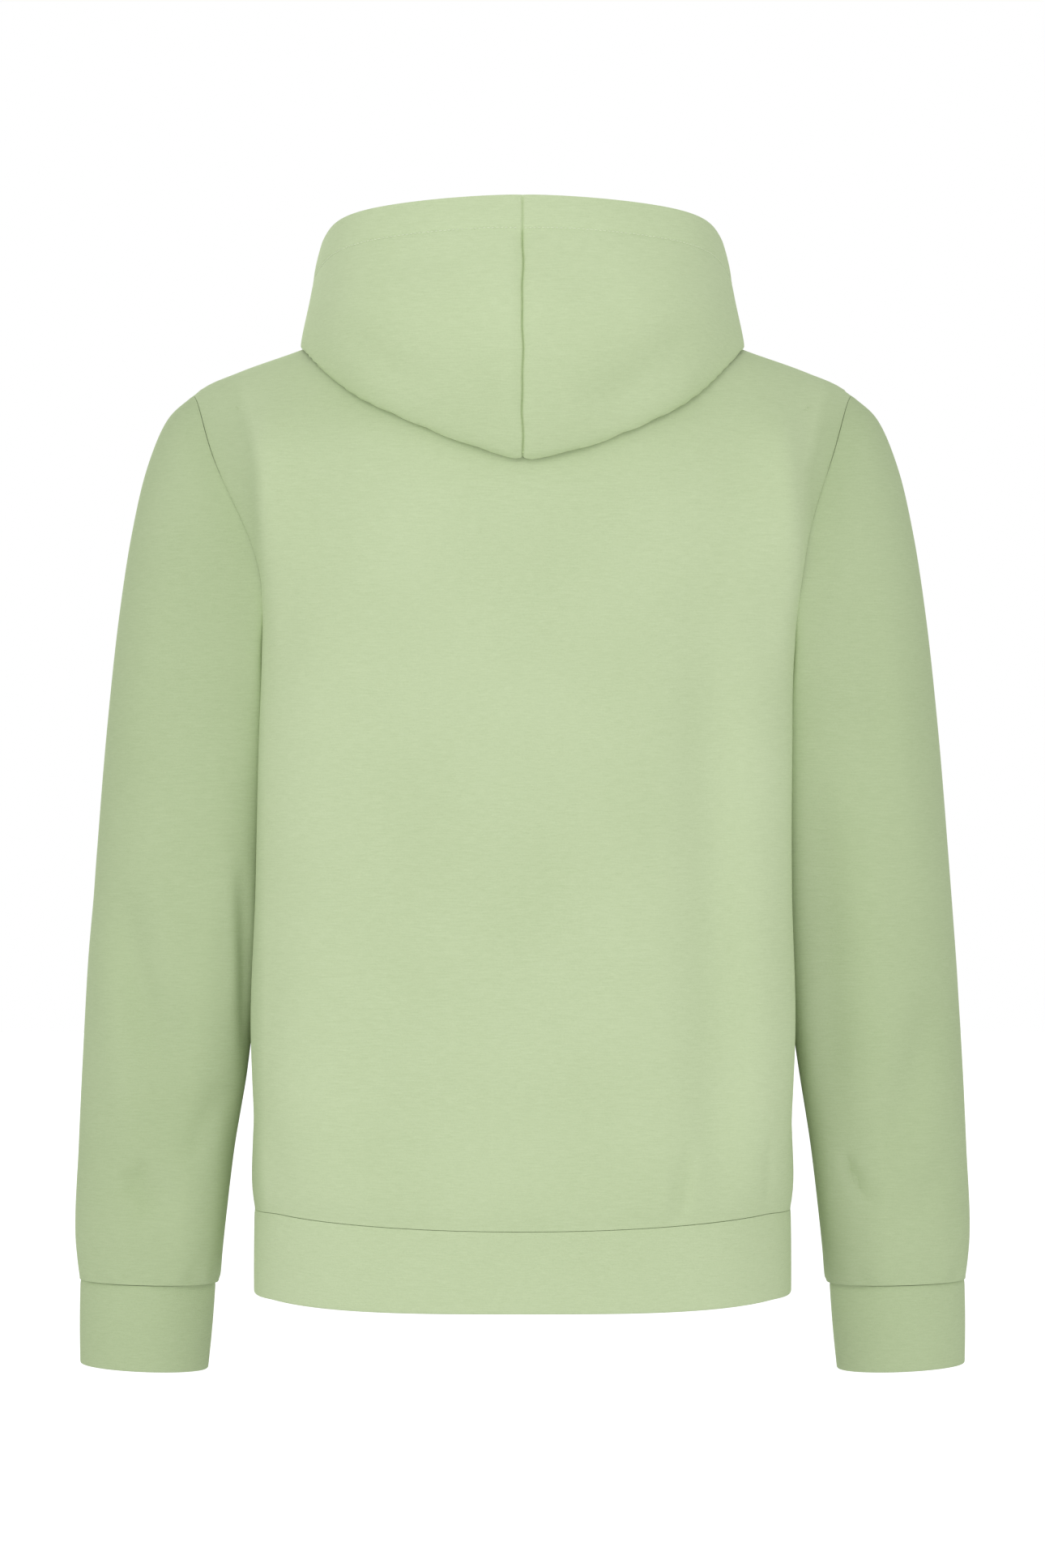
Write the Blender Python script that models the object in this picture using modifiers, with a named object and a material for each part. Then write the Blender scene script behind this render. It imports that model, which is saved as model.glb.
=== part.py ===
"""A zip-up hoodie, filled out as when worn but hollow, with its hood down.

The front faces -Y and the wearer's left is +X.  The origin is the middle of
the neck's base, where the wearer's shoulders hold the garment up.  Lengths are
in metres.  Each cloth piece is a wall: its outer face is worked out on a grid,
and its inner face lies one cloth's thickness further in.
"""

import math
from collections import namedtuple

import bmesh
import bpy
import numpy as np
from mathutils import Matrix

# Driving dimensions.
CLOTH = 0.002  # body, sleeves and hood, one layer of brushed fleece
RIB = 0.003  # hem band and cuffs, two layers
SEAM_GAP = 0.0003
NECK_GAP = 0.0005
SHOULDER_TIP_X = 0.234  # half of the width between the armhole seams
SHOULDER_TIP_Z = -0.051
NECK_SIDE_X = 0.090  # half of the neckline's width
ARMPIT_Z = -0.235
HEM_SEAM_Z = -0.6315
HEM_END_Z = -0.688
NECK_BACK_Z = -0.010
NECK_FRONT_Z = -0.075
ZIP_SLOT = 0.010  # between the two fronts
TAPE_WIDTH = 0.013
CHAIN_WIDTH = 0.0056

# How finely the cloth is faceted.
QUARTER_STEPS = 8  # from a side edge to the centre of the back or front
LOWER_STEPS = 10  # from the hem seam to the armpit
ARMHOLE_STEPS = 9  # up each half of the armhole
SHOULDER_STEPS = 6  # along the shoulder seam
SLEEVE_STEPS = 17
HOOD_STEPS = (4, 5, 3, 4)  # neckline to roll, to fold, to bulge, to rim
CENTRE_SPACING = 1.15  # over 1 sets the columns closer together at the side
BLOUSE_Z = HEM_SEAM_Z + 0.022  # where the body starts to draw in to the band
ARC_STEPS = 8
WIRE_SIDES = 8

# Level sections of the torso, from the hem up.  half_width is at the side,
# back and front are depths from the shoulder line, squareness is the
# superellipse's power, and dent is how far the arm presses the side in.
Section = namedtuple("Section", "z half_width back front squareness dent")
TORSO = (
    Section(-0.6315, 0.1905, 0.112, 0.111, 2.80, 0.000),
    Section(-0.6150, 0.1925, 0.115, 0.114, 3.00, 0.000),
    Section(-0.5800, 0.1945, 0.115, 0.114, 3.20, 0.003),
    Section(-0.5000, 0.1990, 0.113, 0.113, 3.40, 0.014),
    Section(-0.4000, 0.1960, 0.113, 0.115, 3.50, 0.020),
    Section(-0.3000, 0.1955, 0.115, 0.118, 3.50, 0.022),
    Section(-0.2350, 0.1960, 0.117, 0.118, 3.40, 0.021),
    Section(-0.1800, 0.2015, 0.117, 0.114, 3.00, 0.012),
    Section(-0.1400, 0.2200, 0.114, 0.109, 2.60, 0.000),
    Section(-0.1000, 0.2350, 0.109, 0.103, 2.45, 0.000),
    Section(-0.0500, 0.2430, 0.101, 0.095, 2.35, 0.000),
    Section(0.0100, 0.2450, 0.090, 0.086, 2.30, 0.000),
)
DENT_REACH = 0.054

# The shoulder's ridge, seen from the front: its height at each distance out.
Ridge = namedtuple("Ridge", "x z")
RIDGE = (
    Ridge(0.000, 0.040),
    Ridge(0.050, 0.027),
    Ridge(0.090, 0.009),
    Ridge(0.157, -0.019),
    Ridge(0.202, -0.035),
    Ridge(0.227, -0.046),
    Ridge(0.234, -0.051),
    Ridge(0.260, -0.080),
)
RIDGE_DROP = 0.140  # below the ridge, where the shoulder has its full depth
RIDGE_POWER = 2.2

# The armhole, by how far round the torso it cuts in from the side, in degrees.
ARMHOLE_CUT = 19.5
ARMHOLE_LEAN = 9.0
FRONT_CUT = 1.08  # the front is cut in a little more than the back

# Rings of the sleeve, from the armhole to the cuff seam.  The outer point is on
# the sleeve's outline and the inner one under the arm; y is the ring's middle,
# and pressed is the squareness of the half that lies against the body.
Ring = namedtuple("Ring", "at outer_x outer_z inner_x inner_z y depth squareness pressed")
SLEEVE = (
    Ring(0.00, 0.2340, -0.0510, 0.1760, -0.2350, 0.000, 0.056, 2.0, 2.0),
    Ring(0.08, 0.2545, -0.0682, 0.1785, -0.2510, 0.000, 0.060, 2.1, 2.3),
    Ring(0.16, 0.2652, -0.0990, 0.1790, -0.2710, 0.000, 0.062, 2.2, 2.6),
    Ring(0.26, 0.2765, -0.1480, 0.1775, -0.2980, 0.000, 0.061, 2.3, 2.9),
    Ring(0.36, 0.2855, -0.2060, 0.1775, -0.3270, 0.000, 0.059, 2.3, 3.1),
    Ring(0.48, 0.2941, -0.2850, 0.1790, -0.3710, 0.000, 0.058, 2.3, 3.2),
    Ring(0.62, 0.3023, -0.3850, 0.1815, -0.4360, 0.000, 0.058, 2.3, 3.2),
    Ring(0.76, 0.3100, -0.4880, 0.1912, -0.5120, -0.003, 0.055, 2.3, 3.1),
    Ring(0.88, 0.3158, -0.5820, 0.2048, -0.5900, -0.012, 0.048, 2.3, 2.8),
    Ring(0.96, 0.3191, -0.6520, 0.2130, -0.6560, -0.019, 0.042, 2.2, 2.5),
    Ring(1.00, 0.3168, -0.6835, 0.2172, -0.6865, -0.022, 0.038, 2.2, 2.2),
)
ARMHOLE_FADE = 0.30  # of the sleeve's run, where its rings forget the armhole
SLEEVE_START = (0.00057, 0.0, -0.00018)  # from the armhole to the sleeve's edge

Cuff = namedtuple("Cuff", "outer_x outer_z inner_x inner_z y depth")
CUFF = (
    Cuff(0.3160, -0.6840, 0.2196, -0.6870, -0.0220, 0.0365),
    Cuff(0.3163, -0.7140, 0.2224, -0.7175, -0.0235, 0.0355),
    Cuff(0.3165, -0.7415, 0.2252, -0.7460, -0.0250, 0.0345),
)

# The hem band, as shares of the body's last section.
Band = namedtuple("Band", "width depth z")
HEM_BAND = (
    Band(0.998, 0.990, HEM_END_Z),
    Band(1.002, 0.994, -0.6600),
    Band(1.000, 0.998, HEM_SEAM_Z - SEAM_GAP),
)

# Rails of the hood's left half, from the throat round to the centre back.  The
# hood stands up from the neckline to its roll, folds down outside it to rest
# on the shoulders and back, and stands up again to the rim of its face opening.
Rail = namedtuple("Rail", "at x y z")
HOOD_ROLL = (
    Rail(0.00, 0.0095, -0.0985, -0.064),
    Rail(0.20, 0.0620, -0.0850, -0.036),
    Rail(0.45, 0.1060, -0.0350, 0.022),
    Rail(0.62, 0.1060, 0.0150, 0.047),
    Rail(0.80, 0.0740, 0.0640, 0.053),
    Rail(1.00, 0.0000, 0.0890, 0.055),
)
HOOD_FOLD = (
    Rail(0.00, 0.0130, -0.1015, -0.053),
    Rail(0.20, 0.0860, -0.0830, -0.048),
    Rail(0.45, 0.1510, -0.0300, -0.0165),
    Rail(0.62, 0.1545, 0.0345, -0.0220),
    Rail(0.80, 0.1030, 0.0945, -0.069),
    Rail(1.00, 0.0000, 0.1150, -0.107),
)
HOOD_BULGE = (
    Rail(0.00, 0.0165, -0.1035, -0.043),
    Rail(0.20, 0.0950, -0.0890, -0.030),
    Rail(0.45, 0.1465, -0.0330, 0.010),
    Rail(0.62, 0.1462, 0.0420, 0.016),
    Rail(0.80, 0.1120, 0.1200, -0.010),
    Rail(1.00, 0.0000, 0.1550, -0.016),
)
HOOD_RIM = (
    Rail(0.00, 0.0200, -0.1045, -0.034),
    Rail(0.20, 0.0900, -0.0900, -0.008),
    Rail(0.45, 0.1420, -0.0330, 0.034),
    Rail(0.62, 0.1385, 0.0450, 0.055),
    Rail(0.80, 0.1060, 0.1060, 0.066),
    Rail(1.00, 0.0000, 0.1340, 0.072),
)
# How broadly the hood turns up at its fold, and how steeply it runs down to it.
Turn = namedtuple("Turn", "at out down")
FOLD_TURN = (
    Turn(0.00, 0.000, 0.000),
    Turn(0.20, 0.014, 0.006),
    Turn(0.45, 0.010, 0.004),
    Turn(0.62, 0.010, 0.006),
    Turn(0.80, 0.022, 0.006),
    Turn(1.00, 0.030, 0.000),
)
ROLL_CURL = 0.060  # how broadly it turns over at its roll
LEG_PULL = 0.060  # how far it stands up before it starts to turn
CURL_FROM = 0.40  # of the way round from the throat, where the roll is full

# The zip lies behind the edges of the fronts.  Its parts are placed by how far
# they stand out from the fronts' outer face.
TAPE_OUT = (-0.0054, -0.0046)  # inner and outer face
CHAIN_OUT = (-0.0062, -0.0032)
ZIP_TOP_Z = NECK_FRONT_Z - 0.003
BOX_SIZE = (0.0088, 0.0052, 0.0080)
BOX_OUT = -0.0046
SLIDER_SIZE = (0.0088, 0.0042, 0.0120)
SLIDER_OUT = -0.0008
SLIDER_Z = -0.0870
METAL_REACH = 0.010  # half of the run of cloth whose slope a metal part takes
METAL_EDGE = 0.0008  # how far the metal's edges are rounded
BAIL_WIRE = 0.0008
BAIL_RADIUS = 0.0036
BAIL_OUT = 0.0010
BAIL_TURN = 95.0  # to each side of straight out, so that its ends sink in
PULL_OUT = 0.00255  # the pull tab's hinge, half way between slider and bail
PULL_WIDTH = 0.0080
PULL_LENGTH = 0.0260
PULL_THICKNESS = 0.0012
PULL_BAR = 0.0014  # height of the bar that the bail holds
PULL_WINDOW = (0.0044, 0.0062)

SAGE = (0.552, 0.651, 0.397, 1.0)
SAGE_RIB = (0.530, 0.630, 0.375, 1.0)
SAGE_TAPE = (0.470, 0.570, 0.330, 1.0)
NICKEL = (0.620, 0.620, 0.600, 1.0)


def spline(knots, values, at):
    """A smooth curve through values at the rising knots, one cubic to a span."""
    knots = np.asarray(knots, float)
    values = np.asarray(values, float)
    steps = np.diff(knots)
    secants = np.diff(values) / steps
    inner = (secants[:-1] * steps[1:] + secants[1:] * steps[:-1]) / (steps[:-1] + steps[1:])
    slopes = np.concatenate((secants[:1], inner, secants[-1:]))
    at = np.clip(at, knots[0], knots[-1])
    span = np.clip(np.searchsorted(knots, at, side="right") - 1, 0, len(steps) - 1)
    step = steps[span]
    s = (at - knots[span]) / step
    from_values = (1 + 2 * s) * (1 - s) ** 2 * values[span] + (3 - 2 * s) * s**2 * values[span + 1]
    from_slopes = s * (1 - s) ** 2 * slopes[span] - s**2 * (1 - s) * slopes[span + 1]
    return from_values + step * from_slopes


def column(table, name, key, at):
    """One named column of a table, read smoothly at the given keys."""
    keys = [getattr(row, key) for row in table]
    return spline(keys, [getattr(row, name) for row in table], at)


def ridge_height(x):
    return column(RIDGE, "z", "x", x)


def torso_point(angle, z):
    """The torso's outer face, angle radians round from its left side.

    A level section is a superellipse.  Below the shoulder's ridge the depth
    grows from nothing to its full value, which rounds the shoulder.
    """
    half_width = column(TORSO, "half_width", "z", z)
    depth = np.where(angle >= 0, column(TORSO, "back", "z", z), column(TORSO, "front", "z", z))
    power = 2 / column(TORSO, "squareness", "z", z)
    x = half_width * np.cos(angle) ** power
    below = np.clip((ridge_height(x) - z) / RIDGE_DROP, 0, 1)
    rounding = (1 - (1 - below) ** RIDGE_POWER) ** (1 / RIDGE_POWER)
    y = np.sign(angle) * depth * np.abs(np.sin(angle)) ** power * rounding
    x = x - column(TORSO, "dent", "z", z) * np.exp(-((y / DENT_REACH) ** 6))
    return np.stack((x, y, z + 0 * x), axis=-1)


def side_angle(x, z):
    """The angle at which the torso's section at z is x wide."""
    share = np.clip(x / column(TORSO, "half_width", "z", z), 0, 1)
    return np.arccos(share ** (column(TORSO, "squareness", "z", z) / 2))


def armhole_edge(turn, side):
    """(angle, z) of the armhole, turn radians round it from the shoulder tip."""
    z = (SHOULDER_TIP_Z + ARMPIT_Z) / 2 + (SHOULDER_TIP_Z - ARMPIT_Z) / 2 * np.cos(turn)
    cut = np.radians(ARMHOLE_CUT - ARMHOLE_LEAN * np.cos(turn)) * np.sin(turn)
    tip = side_angle(SHOULDER_TIP_X, SHOULDER_TIP_Z)
    return tip * np.cos(turn / 2) ** 2 + cut * (FRONT_CUT if side < 0 else 1), z


def panel_edge(side):
    """(angle, z) down the side of a back or front, from the hem to the neck."""
    lower = np.linspace(HEM_SEAM_Z, ARMPIT_Z, LOWER_STEPS + 1)[:-1]
    lower[1] = BLOUSE_Z
    hole = armhole_edge(np.linspace(math.pi, 0, ARMHOLE_STEPS + 1), side)
    out = np.linspace(SHOULDER_TIP_X, NECK_SIDE_X, SHOULDER_STEPS + 1)[1:]
    ridge = ridge_height(out)
    angle = np.concatenate((0 * lower, hole[0], side_angle(out, ridge)))
    return angle, np.concatenate((lower, hole[1], ridge))


def panel_grid(side):
    """Outer face of half a back (side 1) or half a front (side -1), at +X.

    Each row runs from the edge to the centre.  Above the armpit the rows dip
    or rise towards the centre, so that the last one is the neckline.
    """
    angle, edge_z = panel_edge(side)
    edge = torso_point(side * angle, edge_z)
    run = np.concatenate(([0], np.cumsum(np.linalg.norm(np.diff(edge, axis=0), axis=1))))
    share = np.clip((run - run[LOWER_STEPS]) / (run[-1] - run[LOWER_STEPS]), 0, 1)
    neck = NECK_BACK_Z if side > 0 else NECK_FRONT_Z
    centre_z = np.where(edge_z <= ARMPIT_Z, edge_z, ARMPIT_Z + (neck - ARMPIT_Z) * share)
    inner_x = 0.0 if side > 0 else ZIP_SLOT / 2
    last = side_angle(inner_x, edge_z)
    step = np.linspace(0, 1, QUARTER_STEPS + 1) ** CENTRE_SPACING
    angles = angle[:, None] + (last - angle)[:, None] * step
    towards_edge = np.cos(angles) / np.cos(angle)[:, None]
    z = centre_z[:, None] + (edge_z - centre_z)[:, None] * towards_edge**2
    points = torso_point(side * angles, z)
    points[:, -1, 0] = inner_x
    points[..., 1] = side * np.maximum(side * points[..., 1], SEAM_GAP / 2)
    return points


def grid_normals(points, wrap=False):
    """Unit normals of a grid whose columns run round and rows run along."""
    if wrap:
        around = np.roll(points, -1, axis=1) - np.roll(points, 1, axis=1)
    else:
        around = np.gradient(points, axis=1)
    normals = np.cross(around, np.gradient(points, axis=0))
    return normals / np.linalg.norm(normals, axis=-1, keepdims=True)


def flattened(normals, axis):
    """The normals with one component taken out, so a wall ends square on a seam."""
    normals[..., axis] = 0
    return normals / np.linalg.norm(normals, axis=-1, keepdims=True)


def add_material(obj, colour, roughness, metallic):
    material = bpy.data.materials.new(obj.name)
    material.use_nodes = True
    shader = material.node_tree.nodes["Principled BSDF"]
    shader.inputs["Base Color"].default_value = colour
    shader.inputs["Roughness"].default_value = roughness
    shader.inputs["Metallic"].default_value = metallic
    obj.data.materials.append(material)


def add_object(name, mesh, colour, roughness=0.9, metallic=0.0):
    obj = bpy.data.objects.new(name, mesh)
    add_material(obj, colour, roughness, metallic)
    hoodie.objects.link(obj)
    return obj


def add_wall(name, outer, inner, colour, wrap=False):
    """A closed wall between two grids; its columns may wrap round into a tube."""
    rows, columns = outer.shape[:2]
    index = np.arange(rows * columns).reshape(rows, columns)
    if wrap:
        index = np.concatenate((index, index[:, :1]), axis=1)
    under = index + rows * columns

    def quads(a, b, c, d):
        return np.stack((a, b, c, d), axis=-1).reshape(-1, 4)

    faces = [
        quads(index[:-1, :-1], index[:-1, 1:], index[1:, 1:], index[1:, :-1]),
        quads(under[:-1, :-1], under[1:, :-1], under[1:, 1:], under[:-1, 1:]),
        quads(index[0, 1:], index[0, :-1], under[0, :-1], under[0, 1:]),
        quads(index[-1, :-1], index[-1, 1:], under[-1, 1:], under[-1, :-1]),
    ]
    if not wrap:
        faces.append(quads(index[:-1, 0], index[1:, 0], under[1:, 0], under[:-1, 0]))
        faces.append(quads(index[1:, -1], index[:-1, -1], under[:-1, -1], under[1:, -1]))
    mesh = bpy.data.meshes.new(name)
    points = np.concatenate((outer.reshape(-1, 3), inner.reshape(-1, 3)))
    mesh.from_pydata(points.tolist(), [], np.concatenate(faces).tolist())
    mesh.shade_smooth()
    mesh.set_sharp_from_angle(angle=math.radians(50))
    return add_object(name, mesh, colour)


def mirrored(points):
    """The same grid on the other side, with its columns turned to face out."""
    return (points * (-1, 1, 1))[:, ::-1]


def panel_walls(side):
    """Outer and inner face of half a back or front at +X, columns facing out."""
    outer = panel_grid(side)
    if side < 0:
        outer = outer[:, ::-1]
    normals = grid_normals(outer)
    edge = 0 if side > 0 else -1
    below = slice(0, LOWER_STEPS)
    above = slice(LOWER_STEPS + ARMHOLE_STEPS, None)
    for rows in (below, above):
        normals[rows, edge] = flattened(normals[rows, edge], 1)
    normals[:, -1 - edge] = flattened(normals[:, -1 - edge], 0)
    normals[0] = flattened(normals[0], 2)
    return outer, outer - CLOTH * normals


def make_body():
    outer, inner = panel_walls(1)
    whole = [np.concatenate((g[:, :-1], mirrored(g)), axis=1) for g in (outer, inner)]
    add_wall("back", *whole, SAGE)
    outer, inner = panel_walls(-1)
    add_wall("front_left", outer, inner, SAGE)
    add_wall("front_right", mirrored(outer), mirrored(inner), SAGE)


def sleeve_walls():
    """Outer and inner face of the left sleeve, its rings swinging level."""
    turn = np.linspace(0, 2 * math.pi, 2 * ARMHOLE_STEPS + 1)[:-1]
    hole = np.empty((len(turn), 3))
    for side, on_side in ((1, turn <= math.pi), (-1, turn > math.pi)):
        angle, z = armhole_edge(np.minimum(turn, 2 * math.pi - turn)[on_side], side)
        hole[on_side] = torso_point(side * angle, z)
    at = np.linspace(0, 1, SLEEVE_STEPS + 1)
    ring = {name: column(SLEEVE, name, "at", at)[:, None] for name in Ring._fields[1:]}
    power = 2 / np.where(np.cos(turn) < 0, ring["pressed"], ring["squareness"])
    across = np.sign(np.cos(turn)) * np.abs(np.cos(turn)) ** power
    back = np.sign(np.sin(turn)) * np.abs(np.sin(turn)) ** power
    x = ring["inner_x"] + (ring["outer_x"] - ring["inner_x"]) * (1 + across) / 2
    z = ring["inner_z"] + (ring["outer_z"] - ring["inner_z"]) * (1 + across) / 2
    outer = np.stack((x, ring["y"] + ring["depth"] * back, z), axis=-1)
    fade = np.clip(1 - at / ARMHOLE_FADE, 0, 1)[:, None, None] ** 2
    outer = outer + (hole + SLEEVE_START - outer[0]) * fade
    outer = outer[:, ::-1]
    return outer, outer - CLOTH * grid_normals(outer, wrap=True)


def cuff_walls():
    turn = np.linspace(0, 2 * math.pi, 2 * ARMHOLE_STEPS + 1)[:-1]
    across = (1 + np.cos(turn)) / 2
    rows = []
    for row in CUFF:
        x = row.inner_x + (row.outer_x - row.inner_x) * across
        z = row.inner_z + (row.outer_z - row.inner_z) * across
        rows.append(np.stack((x, row.y + row.depth * np.sin(turn), z), axis=-1))
    outer = np.array(rows)[:, ::-1]
    return outer, outer - RIB * flattened(grid_normals(outer, wrap=True), 2)


def make_sleeves():
    for name, walls, colour in (("sleeve", sleeve_walls(), SAGE), ("cuff", cuff_walls(), SAGE_RIB)):
        add_wall(name + "_left", *walls, colour, wrap=True)
        add_wall(name + "_right", *[mirrored(face) for face in walls], colour, wrap=True)


def make_hem_band():
    """One strip from zip to zip, a little smaller than the body above it."""
    steps = np.linspace(0, 1, QUARTER_STEPS + 1) ** CENTRE_SPACING
    top = HEM_SEAM_Z
    front_end = side_angle(ZIP_SLOT / 2, top)
    quarter = np.concatenate((-front_end * steps[:0:-1], math.pi / 2 * steps))
    half = torso_point(quarter, np.full_like(quarter, top))
    half[0, 0] = ZIP_SLOT / 2
    whole = np.concatenate((half[:-1], (half * (-1, 1, 1))[::-1]))
    rows = []
    for row in HEM_BAND:
        ring = whole * (row.width, row.depth, 0) + (0, 0, row.z)
        ring[[0, -1], 0] = ZIP_SLOT / 2, -ZIP_SLOT / 2
        rows.append(ring)
    outer = np.array(rows)
    normals = flattened(grid_normals(outer), 2)
    normals[:, [0, -1]] = flattened(normals[:, [0, -1]], 0)
    add_wall("hem_band", outer, outer - RIB * normals, SAGE_RIB)


def hermite(start, start_pull, end, end_pull, steps):
    """Rows of points from start to end, leaving and arriving along the pulls."""
    s = np.linspace(0, 1, steps + 1)[:-1, None, None]
    from_ends = (1 + 2 * s) * (1 - s) ** 2 * start + (3 - 2 * s) * s**2 * end
    return from_ends + s * (1 - s) ** 2 * start_pull - s**2 * (1 - s) * end_pull


def rail_points(rail, at):
    """Points on a rail of the hood, which crosses the centre back smoothly."""
    beyond = [Rail(2 - row.at, -row.x, row.y, row.z) for row in rail[-2::-1]]
    whole = list(rail) + beyond
    return np.stack([column(whole, axis, "at", at) for axis in "xyz"], axis=-1)


def hood_walls():
    """Outer and inner face of the hood's left half, from its seam to its rim."""
    neck = np.concatenate((panel_grid(-1)[-1, ::-1], panel_grid(1)[-1, 1:]))
    neck[:, 2] += NECK_GAP
    run = np.concatenate(([0], np.cumsum(np.linalg.norm(np.diff(neck, axis=0), axis=1))))
    at = run / run[-1]
    roll, fold, bulge, rim = (
        rail_points(rail, at) for rail in (HOOD_ROLL, HOOD_FOLD, HOOD_BULGE, HOOD_RIM)
    )
    out = neck * (1, 1, 0)
    out /= np.linalg.norm(out, axis=-1, keepdims=True)
    up = np.array((0.0, 0.0, 1.0))
    curl = np.clip(at / CURL_FROM, 0, 1)[:, None]
    curl = curl**2 * (3 - 2 * curl)
    neck_pull = curl * up * LEG_PULL + (1 - curl) * (roll - neck)
    roll_pull = curl * out * ROLL_CURL + (1 - curl) * (fold - neck) / 2
    turn = column(FOLD_TURN, "out", "at", at)[:, None] * out
    turn = turn - column(FOLD_TURN, "down", "at", at)[:, None] * up
    fold_pull = curl * turn + (1 - curl) * (bulge - roll) / 2
    outer = np.concatenate((
        hermite(neck, neck_pull, roll, roll_pull, HOOD_STEPS[0]),
        hermite(roll, roll_pull, fold, fold_pull, HOOD_STEPS[1]),
        hermite(fold, fold_pull, bulge, (rim - fold) / 2, HOOD_STEPS[2]),
        hermite(bulge, (rim - fold) / 2, rim, rim - bulge, HOOD_STEPS[3]),
        rim[None],
    ))
    outer[:, -1, 0] = SEAM_GAP / 2
    normals = grid_normals(outer)
    normals[:, -1] = flattened(normals[:, -1], 0)
    return outer, outer - CLOTH * normals


def make_hood():
    outer, inner = hood_walls()
    add_wall("hood_left", outer, inner, SAGE)
    add_wall("hood_right", mirrored(outer), mirrored(inner), SAGE)


def zip_line():
    """(y, z) down the centre front, where the fronts and the band end."""
    front = panel_grid(-1)[:, -1]
    band_z = np.array([row.z for row in HEM_BAND])
    band_y = front[0, 1] * np.array([row.depth for row in HEM_BAND])
    return np.concatenate((band_y, front[:, 1])), np.concatenate((band_z, front[:, 2]))


def zip_strip(name, x_range, out_range, z_range):
    """A strip that follows the zip, between two widths and two depths."""
    line_y, line_z = zip_line()
    between = line_z[(line_z > z_range[0]) & (line_z < z_range[1])]
    z = np.concatenate((z_range[:1], between, z_range[1:]))
    y = np.interp(z, line_z, line_y)
    faces = []
    for out in out_range[::-1]:
        columns = [np.stack((x + 0 * z, y - out, z), axis=-1) for x in x_range]
        faces.append(np.stack(columns, axis=1))
    add_wall(name, *faces, SAGE_TAPE)


def zip_place(z, out):
    """(location, slope) of a part of the zip, out from the fronts' face at z."""
    line_y, line_z = zip_line()
    y = np.interp((z - METAL_REACH, z, z + METAL_REACH), line_z, line_y)
    slope = math.atan2(y[0] - y[2], 2 * METAL_REACH)
    return (0.0, y[1] - out * math.cos(slope), z - out * math.sin(slope)), slope


def make_block(name, size, z, out):
    """A metal block with rounded edges, lying on the zip."""
    mesh = bpy.data.meshes.new(name)
    shape = bmesh.new()
    bmesh.ops.create_cube(shape, size=1.0, matrix=Matrix.Diagonal((*size, 1)))
    shape.to_mesh(mesh)
    shape.free()
    block = add_object(name, mesh, NICKEL, 0.35, 1.0)
    block.location, block.rotation_euler.x = zip_place(z, out)
    bevel = block.modifiers.new("rounded edges", "BEVEL")
    bevel.width = METAL_EDGE
    bevel.segments = 2
    return block


def make_bail():
    """The half ring on the slider that holds the pull tab's bar, as a solid to add."""
    turn = np.radians(np.linspace(-BAIL_TURN, BAIL_TURN, ARC_STEPS + 1))[:, None]
    around = np.linspace(0, 2 * math.pi, WIRE_SIDES + 1)[:-1]
    reach = BAIL_RADIUS + BAIL_WIRE * np.cos(around)
    x = BAIL_WIRE * np.sin(around) + 0 * turn
    y = SLIDER_OUT - BAIL_OUT - reach * np.cos(turn)
    points = np.stack((x, y, reach * np.sin(turn)), axis=-1)
    index = np.arange(points.size // 3).reshape(x.shape)
    beside = np.roll(index, -1, axis=1)
    quads = np.stack((index[:-1], beside[:-1], beside[1:], index[1:]), axis=-1)
    faces = quads.reshape(-1, 4).tolist() + [index[0, ::-1].tolist(), index[-1].tolist()]
    mesh = bpy.data.meshes.new("zip_bail")
    mesh.from_pydata(points.reshape(-1, 3).tolist(), [], faces)
    bail = add_object("zip_bail", mesh, NICKEL, 0.35, 1.0)
    bail.hide_render = True
    bail.display_type = "WIRE"
    return bail


def make_slider():
    slider = make_block("zip_slider", SLIDER_SIZE, SLIDER_Z, SLIDER_OUT)
    bail = make_bail()
    bail.location, bail.rotation_euler = slider.location, slider.rotation_euler
    union = slider.modifiers.new("bail", "BOOLEAN")
    union.operation = "UNION"
    union.solver = "EXACT"
    union.object = bail


def arc(centre, radius, start, end):
    turn = np.radians(np.linspace(start, end, ARC_STEPS + 1))
    return np.stack((centre[0] + radius * np.cos(turn), centre[1] + radius * np.sin(turn)), axis=-1)


def add_loop(curve, points):
    """A closed outline in the curve's plane."""
    loop = curve.splines.new("POLY")
    loop.points.add(len(points) - 1)
    loop.use_cyclic_u = True
    for point, (x, y) in zip(loop.points, points):
        point.co = (x, y, 0, 1)


def make_pull():
    """The pull tab, a plate with a window at its top, hinged on its own bar."""
    curve = bpy.data.curves.new("zip_pull", "CURVE")
    curve.dimensions = "2D"
    curve.fill_mode = "BOTH"
    curve.extrude = PULL_THICKNESS / 2
    top = PULL_BAR / 2
    side = PULL_WIDTH / 2
    outline = np.concatenate((
        arc((side - top, 0), top, 0, 90),
        arc((top - side, 0), top, 90, 180),
        arc((0, top - PULL_LENGTH + side), side, 180, 360),
    ))
    add_loop(curve, outline)
    half, low = PULL_WINDOW[0] / 2, -top - PULL_WINDOW[1]
    add_loop(curve, ((-half, -top), (half, -top), (half, low), (-half, low)))
    pull = add_object("zip_pull", curve, NICKEL, 0.35, 1.0)
    pull.location, slope = zip_place(SLIDER_Z, PULL_OUT)
    pull.rotation_euler.x = slope + math.pi / 2


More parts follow.
